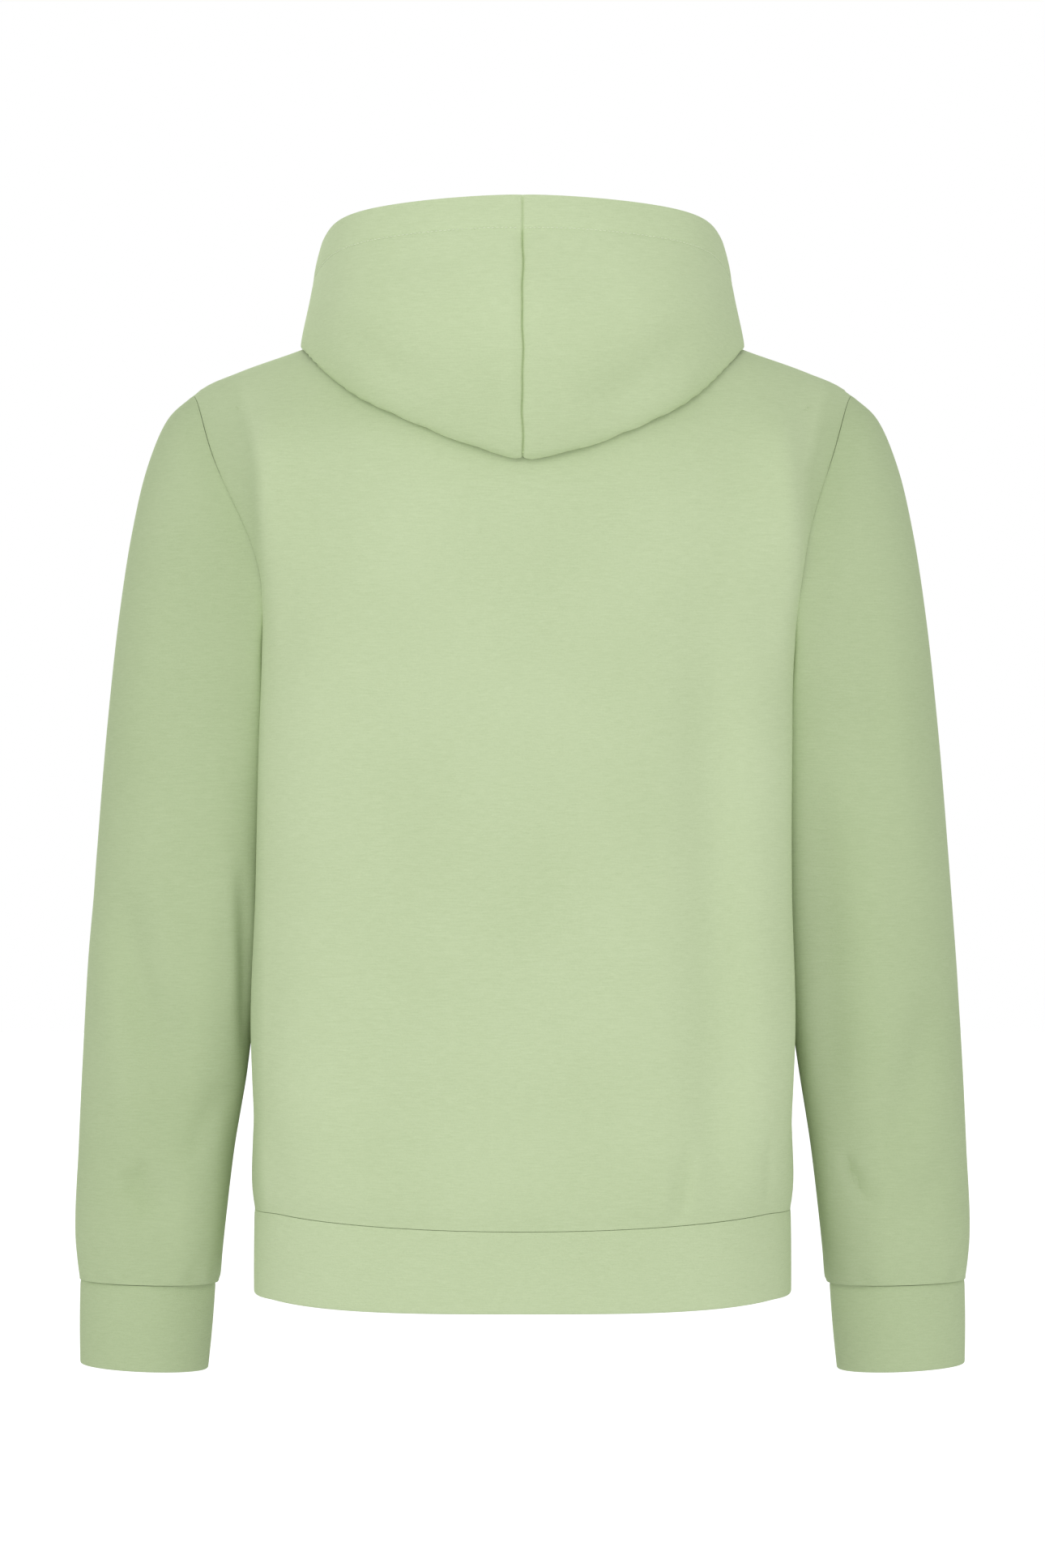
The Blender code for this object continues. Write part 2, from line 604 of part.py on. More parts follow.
def make_zip():
    inner = CHAIN_WIDTH / 2 + SEAM_GAP
    z_range = (HEM_END_Z + BOX_SIZE[2] + SEAM_GAP, ZIP_TOP_Z)
    zip_strip("zip_tape_left", (inner, inner + TAPE_WIDTH), TAPE_OUT, z_range)
    zip_strip("zip_tape_right", (-inner - TAPE_WIDTH, -inner), TAPE_OUT, z_range)
    zip_strip("zip_chain", (-CHAIN_WIDTH / 2, CHAIN_WIDTH / 2), CHAIN_OUT, z_range)
    make_block("zip_box", BOX_SIZE, HEM_END_Z + BOX_SIZE[2] / 2, BOX_OUT)
    make_slider()
    make_pull()


hoodie = bpy.data.collections.new("zip_up_hoodie")


def main():
    for obj in list(bpy.data.objects):
        bpy.data.objects.remove(obj, do_unlink=True)
    bpy.context.scene.collection.children.link(hoodie)
    make_body()
    make_sleeves()
    make_hem_band()
    make_hood()
    make_zip()


main()
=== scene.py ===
import math
import bpy
import numpy as np
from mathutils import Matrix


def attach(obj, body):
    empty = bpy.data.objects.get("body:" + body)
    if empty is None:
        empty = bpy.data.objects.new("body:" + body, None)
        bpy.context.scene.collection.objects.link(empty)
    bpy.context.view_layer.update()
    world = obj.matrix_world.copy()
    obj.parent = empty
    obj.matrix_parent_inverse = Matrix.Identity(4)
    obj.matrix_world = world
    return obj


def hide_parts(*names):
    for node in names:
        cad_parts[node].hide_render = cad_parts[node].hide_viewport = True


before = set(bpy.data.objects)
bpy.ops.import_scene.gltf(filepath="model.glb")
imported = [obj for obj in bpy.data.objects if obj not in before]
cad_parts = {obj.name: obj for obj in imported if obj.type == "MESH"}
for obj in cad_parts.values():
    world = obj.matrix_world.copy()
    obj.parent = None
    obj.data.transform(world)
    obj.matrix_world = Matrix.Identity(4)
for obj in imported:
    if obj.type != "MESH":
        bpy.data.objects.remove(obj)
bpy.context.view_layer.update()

# camera, light and floor
view = {
    "place": (0, 2.8, -0.3263),  # behind the wearer, level, looking along -Y
    "lens": 90.6,
    "floorZ": -1.45,  # where the wearer's feet would be
    "floorSize": 30.0,
    "floorColour": (0.86, 0.86, 0.86),
    "floorGlow": 0.6,  # added for the camera, so the lit floor shows white
    "skyColour": (0.98, 0.99, 1.0),
    "skyStrength": 0.61,
}
lamps = {
    "key": {"place": (0.4, 3.3, 1.0), "aim": (0.0, 0.0, -0.25), "size": 1.6, "power": 16.8},
    "fill": {"place": (-0.15, 3.3, -0.5), "aim": (0.0, 0.0, -0.35), "size": 1.2, "power": 15.8},
    "leftSide": {"place": (2.3, 1.5, 0.5), "aim": (0.1, 0.0, -0.1), "size": 1.0, "power": 7.4},
    "rightSide": {"place": (-2.3, 1.5, 0.5), "aim": (-0.1, 0.0, -0.1), "size": 1.0, "power": 5.6},
    "front": {"place": (0.8, -3.2, 1.2), "aim": (0.0, 0.0, -0.3), "size": 2.0, "power": 37.0},
}


class Signal:
    # one output socket, so that maths on numbers reads as an expression
    def __init__(self, shader, socket):
        self.shader, self.socket = shader, socket

    def combine(self, operation, first, second=0.0):
        return self.shader.add("ShaderNodeMath", {"operation": operation}, {0: first, 1: second})

    def __add__(self, other):
        return self.combine("ADD", self, other)

    def __sub__(self, other):
        return self.combine("SUBTRACT", self, other)

    def __rsub__(self, other):
        return self.combine("SUBTRACT", other, self)

    def __mul__(self, other):
        return self.combine("MULTIPLY", self, other)

    __radd__ = __add__
    __rmul__ = __mul__

    def clamped(self):
        return self.combine("MINIMUM", self.combine("MAXIMUM", self, 0.0), 1.0)


class Shader:
    # a material's node tree, with its Principled shader and its coordinates
    def __init__(self, name, fixed):
        self.material = bpy.data.materials.new(name)
        self.material.use_nodes = True
        self.tree = self.material.node_tree
        self.surface = self.tree.nodes["Principled BSDF"]
        for socket, value in fixed.items():
            self.surface.inputs[socket].default_value = value
        self.place = self.add("ShaderNodeTexCoord", out="Object")

    def add(self, kind, settings=None, inputs=None, out=0):
        node = self.tree.nodes.new(kind)
        for key, value in (settings or {}).items():
            setattr(node, key, value)
        for key, value in (inputs or {}).items():
            if isinstance(value, Signal):
                self.tree.links.new(value.socket, node.inputs[key])
            else:
                node.inputs[key].default_value = value
        return Signal(self, node.outputs[out])

    def stretched(self, scale):
        # the coordinates, multiplied along each axis
        return self.add("ShaderNodeVectorMath", {"operation": "MULTIPLY"}, {0: self.place, 1: scale})

    def axis(self, which):
        return self.add("ShaderNodeSeparateXYZ", inputs={0: self.place}, out="XYZ".index(which))

    def noise(self, scale, detail=2.0, vector=None):
        inputs = {"Vector": vector or self.place, "Scale": scale, "Detail": detail}
        return self.add("ShaderNodeTexNoise", inputs=inputs)

    def blend(self, mask, first, second):
        return self.add("ShaderNodeMix", {"data_type": "RGBA"}, {0: mask, 6: first, 7: second}, out=2)

    def feed(self, socket, signal):
        self.tree.links.new(signal.socket, self.surface.inputs[socket])

    def relief(self, height, distance, strength=1.0):
        inputs = {"Height": height, "Distance": distance, "Strength": strength}
        self.feed("Normal", self.add("ShaderNodeBump", inputs=inputs))


def opaque(colour):
    return (*colour, 1.0)


def newObject(name, data):
    made = bpy.data.objects.new(name, data)
    bpy.context.scene.collection.objects.link(made)
    return made


def makeStage():
    scene = bpy.context.scene
    scene.view_settings.view_transform = "Standard"
    camera = newObject("camera", bpy.data.cameras.new("camera"))
    camera.location = view["place"]
    camera.rotation_euler = (math.pi / 2, 0.0, math.pi)
    camera.data.lens = view["lens"]
    scene.camera = camera
    for name, lamp in lamps.items():
        light = newObject(name, bpy.data.lights.new(name, "AREA"))
        light.data.energy = lamp["power"]
        light.data.size = lamp["size"]
        light.location = lamp["place"]
        towards = np.subtract(lamp["aim"], lamp["place"])
        across = math.hypot(towards[0], towards[1])
        turn = math.atan2(towards[1], towards[0]) - math.pi / 2
        light.rotation_euler = (math.atan2(across, -towards[2]), 0.0, turn)
    seen = bpy.data.worlds.new("studio")
    seen.use_nodes = True
    nodes, links = seen.node_tree.nodes, seen.node_tree.links
    rays = nodes.new("ShaderNodeLightPath")
    straight = rays.outputs["Is Camera Ray"]
    for kind in ("Is Glossy Ray", "Is Transmission Ray"):
        either = nodes.new("ShaderNodeMath")
        either.operation = "MAXIMUM"
        links.new(straight, either.inputs[0])
        links.new(rays.outputs[kind], either.inputs[1])
        straight = either.outputs[0]
    white = nodes.new("ShaderNodeBackground")
    white.inputs["Color"].default_value = (1, 1, 1, 1)
    lit = nodes["Background"]
    lit.inputs["Color"].default_value = opaque(view["skyColour"])
    lit.inputs["Strength"].default_value = view["skyStrength"]
    mix = nodes.new("ShaderNodeMixShader")
    for slot, output in enumerate((straight, lit.outputs[0], white.outputs[0])):
        links.new(output, mix.inputs[slot])
    links.new(mix.outputs[0], nodes["World Output"].inputs["Surface"])
    scene.world = seen
    half = view["floorSize"] / 2
    mesh = bpy.data.meshes.new("floor")
    corners = [(-half, -half), (half, -half), (half, half), (-half, half)]
    mesh.from_pydata([(x, y, view["floorZ"]) for x, y in corners], [], [(0, 1, 2, 3)])
    floor = newObject("floor", mesh)
    paper = Shader("floor paper", {"Roughness": 0.9, "Emission Color": (1, 1, 1, 1)})
    paper.surface.inputs["Base Color"].default_value = opaque(view["floorColour"])
    path = paper.tree.nodes.new("ShaderNodeLightPath")
    toCamera, toGloss = (Signal(paper, path.outputs[kind]) for kind in ("Is Camera Ray", "Is Glossy Ray"))
    paper.feed("Emission Strength", toCamera.combine("MAXIMUM", toCamera, toGloss) * view["floorGlow"])
    mesh.materials.append(paper.material)


makeStage()
print("camera, lamps and floor are in place")


# cloth and metal finishes
weave = {
    "sheenRoughness": 0.5,
    "specular": 0.25,
    "coursesTone": 1.1,  # how strongly each pattern shows in the colour
    "fibresTone": 0.7,
    "driftTone": 0.8,
    "coursesHeight": 0.6,  # and in the relief
    "fibresHeight": 0.4,
    "bump": 0.6,
}


def makeCloth(name, look, turned=None):
    # a fine knit: wavering level courses, loose fibres and a slow drift of colour; where turned is given,
    # painted shade as well
    cloth = Shader(name, {
        "Roughness": look["roughness"],
        "Sheen Weight": look["sheen"],
        "Sheen Roughness": weave["sheenRoughness"],
        "Sheen Tint": opaque(look["light"]),
        "Specular IOR Level": weave["specular"],
    })
    courses = cloth.noise(1.0, 3.0, cloth.stretched(look["courses"]))
    fibres = cloth.noise(look["fibres"], 2.0)
    drift = cloth.noise(look["drift"], 1.0)
    tone = 0.5 + (courses - 0.5) * weave["coursesTone"]
    tone = tone + (fibres - 0.5) * weave["fibresTone"] + (drift - 0.5) * weave["driftTone"]

    def shaded(shades):
        return cloth.blend(tone.clamped(), opaque(shades["dark"]), opaque(shades["light"]))

    colour = shaded(look)
    if turned:
        # painted shade: a deeper tone where the cloth turns away from the light, beyond an edge line on each
        # side for a soft step above 0, short of it for one below 0
        x, z = cloth.axis("X") - turned["middle"], cloth.axis("Z")
        edge = turned["x"] + turned["lean"] * x.combine("MAXIMUM", z - turned["straight"], 0.0)
        beyond = ((x.combine("ABSOLUTE", x) - edge) * (1 / turned["soft"])).clamped()
        mask = beyond * ((turned["top"] - z) * (1 / turned["fade"])).clamped() * turned["amount"]
        colour = cloth.blend(mask, colour, shaded(turned["look"]))
    cloth.feed("Base Color", colour)
    height = courses * weave["coursesHeight"] + fibres * weave["fibresHeight"]
    cloth.relief(height, look["relief"], weave["bump"])
    return cloth.material


clothLook = {
    "dark": (0.5, 0.597, 0.352),
    "light": (0.588, 0.685, 0.432),
    "roughness": 0.94,
    "sheen": 0.26,
    "courses": (130.0, 130.0, 1300.0),
    "fibres": 900.0,
    "drift": 9.0,
    "relief": 0.0004,
}
# painted shade: the sleeves take a darker copy of the body's knit, for the lesser light that falls on them
shadedSleeveLook = dict(clothLook, dark=(0.428, 0.522, 0.295), light=(0.504, 0.6, 0.362))
# painted light: the hood takes a lighter copy of the body's knit, for its top turned up to the light
litHoodLook = dict(clothLook, dark=(0.515, 0.615, 0.363), light=(0.606, 0.706, 0.445))
ribLook = dict(clothLook, courses=(160.0, 160.0, 1500.0), relief=0.0005)
# painted shade: the cuffs take the sleeves' darker copy of the knit
shadedCuffLook = dict(shadedSleeveLook, courses=(160.0, 160.0, 1500.0), relief=0.0005)
tapeLook = dict(clothLook, dark=(0.42, 0.52, 0.29), light=(0.49, 0.59, 0.35), courses=(900.0, 900.0, 1800.0))
threadLook = dict(clothLook, dark=(0.62, 0.71, 0.47), light=(0.7, 0.78, 0.55), fibres=4000.0)

# painted shade: beyond each shoulder blade the back's knit takes the sleeves' darker tone, for the shade where
# the cloth turns away
shoulderPaintedShade = {  # beyond each shoulder blade
    "look": shadedSleeveLook,
    "middle": -0.008,  # the garment hangs this far to its wearer's right
    "x": 0.1855,
    "lean": 0.27,  # how fast the edge runs outwards above the straight stretch
    "straight": -0.11,
    "soft": 0.007,
    "top": -0.03,
    "fade": 0.045,
    "amount": 0.85,
}
# painted shade: the sleeves darker beside the body, which shades them
sleevePaintedShade = {  # beside the body
    "look": dict(shadedSleeveLook, dark=(0.351, 0.428, 0.242), light=(0.413, 0.492, 0.297)),
    "middle": -0.008,
    "x": 0.255,
    "lean": -0.1,
    "straight": -0.7,
    "soft": -0.045,
    "top": -0.3,
    "fade": 0.1,
    "amount": 0.9,
}

knit = makeCloth("sage fleece knit", clothLook)
# the back, sleeves and cuffs carry painted shade, and the hood painted light
backKnit = makeCloth("sage fleece knit, back, painted shoulder shade", clothLook, shoulderPaintedShade)
sleeveKnit = makeCloth("sage sleeve knit, painted shade", shadedSleeveLook, sleevePaintedShade)
hoodKnit = makeCloth("sage hood knit, painted light", litHoodLook)
ribKnit = makeCloth("sage rib knit", ribLook)
cuffKnit = makeCloth("sage cuff knit, painted shade", shadedCuffLook)
wovenTape = makeCloth("woven zip tape", tapeLook)
thread = makeCloth("sage sewing thread", threadLook)

zipLook = {
    "grain": 1500.0,
    "grainRelief": 0.0001,
    "brushing": (2500.0, 300.0, 300.0),
    "brushingRelief": 0.00005,
    "bump": 0.4,
    "smoothest": 0.24,
    "rougher": 0.22,  # what the brushing adds
}
teethPlastic = Shader("moulded zip teeth", {"Roughness": 0.45, "Base Color": (0.44, 0.53, 0.31, 1)})
teethPlastic.relief(teethPlastic.noise(zipLook["grain"]), zipLook["grainRelief"], zipLook["bump"])
nickel = Shader("satin nickel", {"Metallic": 1.0, "Base Color": (0.46, 0.455, 0.44, 1)})
brushing = nickel.noise(1.0, 3.0, nickel.stretched(zipLook["brushing"]))
nickel.feed("Roughness", zipLook["smoothest"] + brushing * zipLook["rougher"])
nickel.relief(brushing, zipLook["brushingRelief"], zipLook["bump"])
print("finishes are made")


# how surfaces are worked out
def cubic(s, start, startPull, end, endPull):
    # from start to end as s goes from 0 to 1, leaving and arriving along the pulls
    fromEnds = (1 + 2 * s) * (1 - s) ** 2 * start + (3 - 2 * s) * s**2 * end
    return fromEnds + s * (1 - s) ** 2 * startPull - s**2 * (1 - s) * endPull


def smoothCurve(knots, values, at):
    # one cubic to a span, its slope at each knot the weighted mean of the chords beside it
    knots = np.asarray(knots, float)
    values = np.asarray(values, float)
    steps = np.diff(knots)
    chords = np.diff(values) / steps
    inner = (chords[:-1] * steps[1:] + chords[1:] * steps[:-1]) / (steps[:-1] + steps[1:])
    slopes = np.concatenate((chords[:1], inner, chords[-1:]))
    at = np.clip(at, knots[0], knots[-1])
    span = np.clip(np.searchsorted(knots, at, side="right") - 1, 0, len(steps) - 1)
    step = steps[span]
    s = (at - knots[span]) / step
    return cubic(s, values[span], step * slopes[span], values[span + 1], step * slopes[span + 1])


def softStep(value):
    value = np.clip(value, 0.0, 1.0)
    return value**2 * (3 - 2 * value)


def bell(distance, reach):
    return np.exp(-((distance / reach) ** 2))


def runAlong(points, axis):
    # distance walked over the grid from its first row or column
    steps = np.linalg.norm(np.diff(points, axis=axis), axis=-1)
    start = np.zeros_like(np.take(steps, [0], axis=axis))
    return np.concatenate((start, np.cumsum(steps, axis=axis)), axis=axis)


def resampled(at, run, path):
    # points of a path at the given distances along it
    return np.stack([np.interp(at, run, path[:, k]) for k in range(3)], axis=-1)


def gridNormals(points, wrap=False):
    # cross product of the directions round and along, which points out of the cloth
    if wrap:
        around = np.roll(points, -1, axis=1) - np.roll(points, 1, axis=1)
    else:
        around = np.gradient(points, axis=1)
    normals = np.cross(around, np.gradient(points, axis=0))
    return normals / np.maximum(np.linalg.norm(normals, axis=-1, keepdims=True), 1e-12)


def flattened(normals, axis):
    # one component taken out, so that a wall ends square on its seam
    normals[..., axis] = 0
    return normals / np.linalg.norm(normals, axis=-1, keepdims=True)


def mirrored(points):
    return (points * (-1, 1, 1))[:, ::-1]


sharpAngle = math.radians(55)


def addPiece(name, points, faces, material, node=None, slot="body_cloth", edge=0.0):
    # a finished piece, in place of a CAD node or riding beside them
    mesh = bpy.data.meshes.new(name)
    mesh.from_pydata(points.reshape(-1, 3).tolist(), [], faces)
    mesh.shade_smooth()
    mesh.set_sharp_from_angle(angle=sharpAngle)
    mesh.materials.append(material)
    piece = newObject(name, mesh)
    if edge:
        bevel = piece.modifiers.new("turned edge", "BEVEL")
        bevel.limit_method = "ANGLE"
        bevel.angle_limit = sharpAngle
        bevel.width = edge
        bevel.segments = 2
    if node:
        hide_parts(node)
    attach(piece, "hoodie")
    return piece


drape = {
    "left": 0.01,  # how far the garment is drawn in at its left armpit
    "right": 0.002,
    "x": 0.185,
    "reach": 0.036,
    "start": -0.08,
    "full": -0.185,
    "fade": 0.11,
    "rise": 0.0058,  # how much higher the hem hangs at its sides
    "riseX": 0.19,
    "riseTop": -0.52,
    "riseFade": 0.08,
    "sleeveX": 0.216,  # the rise ends short of the sleeves
    "sleeveFade": 0.014,
    "seamRise": 0.0042,  # how much more the hem's seam rises on the way to the sides
    "seamFade": 0.0565,
    "seamSide": 1.04,  # where that ends, as a share of riseX
    "seamSoft": 0.16,
    "cornerDrop": 0.0022,  # how much lower the band's corners hang
    "cornerTop": -0.655,
    "cornerFade": 0.03,
    "cornerSide": 0.9,
    "cornerSoft": 0.12,
    "hoodLeft": 0.0036,  # the hood's folded edge hangs higher on the left
    "hoodRight": -0.0014,
    "hoodX": 0.155,
    "hoodLow": -0.16,
    "hoodTop": 0.02,
    "hoodY": 0.03,
    "hoodFade": 0.05,
}


def draped(points):
    # The sides are drawn in by a bell, strongest at one height.  The hem rises
    # towards them, its seam more on the way, and its corners hang lower.  The
    # hood's folded edge shifts by half a sine wave on each side.
    x, z = points[..., 0], points[..., 2]
    pull = softStep((drape["start"] - z) / (drape["start"] - drape["full"]))
    pull = pull * np.exp(-np.clip(drape["full"] - z, 0, None) / drape["fade"])
    amount = np.where(x > 0, drape["left"], drape["right"])
    moved = points.copy()
    moved[..., 0] -= amount * pull * bell(np.abs(x) - drape["x"], drape["reach"])
    low = softStep((drape["riseTop"] - z) / drape["riseFade"])
    low = low * softStep((drape["sleeveX"] - np.abs(x)) / drape["sleeveFade"])
    side = np.abs(x) / drape["riseX"]
    moved[..., 2] += drape["rise"] * low * side**4
    bySeam = 1 - softStep(np.abs(z - body["hemSeamZ"]) / drape["seamFade"])
    bySeam = bySeam * softStep((drape["seamSide"] - side) / drape["seamSoft"])
    moved[..., 2] += drape["seamRise"] * bySeam * np.sin(math.pi / 2 * side) ** 2
    corner = softStep((drape["cornerTop"] - z) / drape["cornerFade"])
    corner = corner * softStep((side - drape["cornerSide"]) / drape["cornerSoft"])
    moved[..., 2] -= drape["cornerDrop"] * corner * low
    near = softStep((z - drape["hoodLow"]) / drape["hoodFade"])
    near = near * softStep((drape["hoodTop"] - z) / drape["hoodFade"])
    near = near * softStep((points[..., 1] - drape["hoodY"]) / drape["hoodFade"])
    shift = np.where(x > 0, drape["hoodLeft"], drape["hoodRight"])
    moved[..., 2] += shift * near * np.sin(math.pi * np.clip(np.abs(x) / drape["hoodX"], 0, 1))
    return moved


def addWall(name, outer, inner, wrap=False, **kind):
    # a closed wall between two grids, whose columns may wrap round into a tube
    rows, columns = outer.shape[:2]
    index = np.arange(rows * columns).reshape(rows, columns)
    if wrap:
        index = np.concatenate((index, index[:, :1]), axis=1)
    under = index + rows * columns

    def quads(a, b, c, d):
        return np.stack((a, b, c, d), axis=-1).reshape(-1, 4)

    faces = [
        quads(index[:-1, :-1], index[:-1, 1:], index[1:, 1:], index[1:, :-1]),
        quads(under[:-1, :-1], under[1:, :-1], under[1:, 1:], under[:-1, 1:]),
        quads(index[0, 1:], index[0, :-1], under[0, :-1], under[0, 1:]),
        quads(index[-1, :-1], index[-1, 1:], under[-1, 1:], under[-1, :-1]),
    ]
    if not wrap:
        faces.append(quads(index[:-1, 0], index[1:, 0], under[1:, 0], under[:-1, 0]))
        faces.append(quads(index[1:, -1], index[:-1, -1], under[:-1, -1], under[1:, -1]))
    points = draped(np.concatenate((outer.reshape(-1, 3), inner.reshape(-1, 3))))
    return addPiece(name, points, np.concatenate(faces).tolist(), **kind)


def addPair(name, node, left, right, **kind):
    # the left and right one of a piece, each from its own outer and inner face
    walls = (("left", left), ("right", right))
    return [addWall(f"{side}_{name}", *wall, node=f"{node}_{side}", **kind) for side, wall in walls]


creaseEnds = 0.35  # share of a crease over which it fades at each end
creaseTurn = 1.5  # how sharply it ends where the cloth turns over


def creaseHeight(points, normals, creases):
    # Each crease is a soft ridge, or a trough where its height is below 0, bowed
    # sideways between its ends.  It shows on the side that faces +Y where side
    # is 1 and on the other where side is -1.
    height = np.zeros(points.shape[:-1])
    for *sizes, side in creases:
        x0, z0, x1, z1, bow, wide, high = np.array(sizes) / 1000
        run = np.array((x1 - x0, z1 - z0))
        length = np.linalg.norm(run)
        along, across = run / length, np.array((-run[1], run[0])) / length
        away = points[..., [0, 2]] - (x0, z0)
        s = away @ along / length
        inside = np.clip(s, 0, 1)
        d = away @ across - bow * 4 * inside * (1 - inside)
        fade = softStep(s / creaseEnds) * softStep((1 - s) / creaseEnds)
        facing = softStep(0.5 + creaseTurn * side * normals[..., 1])
        height += high * bell(d, wide) * fade * facing
    return height


def spread(count, nearStart, nearEnd, power=1.0):
    # steps from 0 to 1, with the given extra ones close to each end
    even = np.linspace(0, 1, count + 1) ** power
    return np.unique(np.concatenate((nearStart, even, 1 - np.array(nearEnd))))


# the body
body = {
    "cloth": 0.002,
    "seamGap": 0.0003,
    "shoulderTipX": 0.234,
    "shoulderTipZ": -0.051,
    "neckSideX": 0.09,
    "armpitZ": -0.235,
    "hemSeamZ": -0.6315,
    "hemEndZ": -0.688,
    "neckBackZ": -0.01,
    "neckFrontZ": -0.075,
    "zipSlot": 0.01,
    "ridgeDrop": 0.14,
    "ridgePower": 2.2,
    "armholeCut": 19.5,  # how far round from the side the armhole cuts in, in degrees
    "armholeLean": 9.0,
    "frontCut": 1.08,
    "dentReach": 0.054,
    "seamDip": 0.0003,  # how far the cloth rolls in at a seam
    "seamReach": 0.0014,
    "hemDip": 0.0004,  # the body overhangs the band below it
    "hemReach": 0.0065,
}
torso = {
    "z": (-0.6315, -0.615, -0.58, -0.5, -0.4, -0.3, -0.235, -0.18, -0.14, -0.1, -0.05, 0.01),
    "halfWidth": (0.1897, 0.191, 0.193, 0.1985, 0.196, 0.1955, 0.196, 0.2015, 0.22, 0.235, 0.243, 0.245),
    "back": (0.112, 0.115, 0.115, 0.113, 0.113, 0.115, 0.117, 0.117, 0.114, 0.109, 0.101, 0.09),
    "front": (0.111, 0.114, 0.114, 0.113, 0.115, 0.118, 0.118, 0.114, 0.109, 0.103, 0.095, 0.086),
    "squareness": (2.8, 3, 3.2, 3.4, 3.5, 3.5, 3.4, 3, 2.6, 2.45, 2.35, 2.3),
    "dent": (0, 0, 0.003, 0.014, 0.02, 0.022, 0.021, 0.012, 0, 0, 0, 0),
}
ridge = {
    "x": (0, 0.05, 0.09, 0.157, 0.202, 0.227, 0.234, 0.26),
    "z": (0.04, 0.027, 0.009, -0.019, -0.035, -0.046, -0.051, -0.08),
}
# creases in millimetres: x0, z0, x1, z1, bow, half width, height, side
bodyCreases = (
    (176, -40, 170, -225, 0, 22, 8.5, 1),
    (178, -60, 174, -270, 2, 9, 4, 1),
    (-178, -40, -172, -225, 0, 21, 8, 1),
    (-180, -60, -176, -275, -2, 9, 4, 1),
    (-126, -150, -138, -640, -4, 26, -11, 1),
    (-152, -330, -166, -640, -4, 18, 2.6, 1),
    (-66, -200, -72, -560, 3, 18, 1.2, 1),
    (-128, -520, -146, -632, 2, 16, -3, 1),
    (62, -380, 120, -610, 6, 22, -5.6, 1),
    (150, -420, 166, -600, 2, 16, 2, 1),
    (52, -130, 58, -400, 2, 12, -1.4, 1),
    (78, -180, 92, -470, 3, 26, 1.6, 1),
    (-114, -570, -106, -634, 0, 5, -4.2, 1),
    (182, -555, 176, -634, 2, 6, 2, 1),
    (-172, -560, -170, -634, 1, 4, -1.4, 1),
    (20, -585, -60, -590, 2, 14, -2, 1),
    (90, -200, 100, -560, -5, 18, -3.4, -1),
    (-82, -260, -104, -600, 5, 18, -3.2, -1),
    (150, -360, 158, -610, 2, 18, 2.2, -1),
    (-148, -300, -150, -600, -3, 20, 2.2, -1),
    (60, -150, 50, -330, 3, 15, -1.8, -1),
)


def fromTable(table, name, at, key="at"):
    return smoothCurve(table[key], table[name], at)


def allRows(table, at):
    return {name: fromTable(table, name, at)[:, None] for name in table if name != "at"}


def torsoPoint(angle, z):
    # a level section is a superellipse; below the shoulder's ridge its depth
    # grows from nothing to the full one along another, which rounds the shoulder
    halfWidth = fromTable(torso, "halfWidth", z, "z")
    depth = np.where(angle >= 0, fromTable(torso, "back", z, "z"), fromTable(torso, "front", z, "z"))
    power = 2 / fromTable(torso, "squareness", z, "z")
    x = halfWidth * np.cos(angle) ** power
    below = np.clip((fromTable(ridge, "z", x, "x") - z) / body["ridgeDrop"], 0, 1)
    rounding = (1 - (1 - below) ** body["ridgePower"]) ** (1 / body["ridgePower"])
    y = np.sign(angle) * depth * np.abs(np.sin(angle)) ** power * rounding
    x = x - fromTable(torso, "dent", z, "z") * np.exp(-((y / body["dentReach"]) ** 6))
    return np.stack((x, y, z + 0 * x), axis=-1)


def sideAngle(x, z):
    # the angle at which the section at z is x wide
    share = np.clip(x / fromTable(torso, "halfWidth", z, "z"), 0, 1)
    return np.arccos(share ** (fromTable(torso, "squareness", z, "z") / 2))


def armholeEdge(turn, side):
    # angle and height of the armhole, turn radians round it from the shoulder tip
    top, low = body["shoulderTipZ"], body["armpitZ"]
    z = (top + low) / 2 + (top - low) / 2 * np.cos(turn)
    cut = np.radians(body["armholeCut"] - body["armholeLean"] * np.cos(turn)) * np.sin(turn)
    tip = sideAngle(body["shoulderTipX"], top)
    return tip * np.cos(turn / 2) ** 2 + cut * (body["frontCut"] if side < 0 else 1), z


# how the rows and columns of a panel's grid are spread
panel = {
    "sideRows": spread(56, (0, 0.002, 0.004, 0.007, 0.01, 0.015), (0,)),
    "holeSteps": 44,
    "shoulder": spread(26, (), (0, 0.006, 0.014, 0.025)),
    "columns": 46,
    "nearEdge": (0, 0.002, 0.005, 0.009, 0.014),
    "nearZip": (0.004, 0.01),
    "crowding": 1.1,
    "tipRows": (-3, 1),  # from where to where the rows are evened by the shoulder's tip
    "tipColumns": 18,
}
holeSteps = panel["holeSteps"]


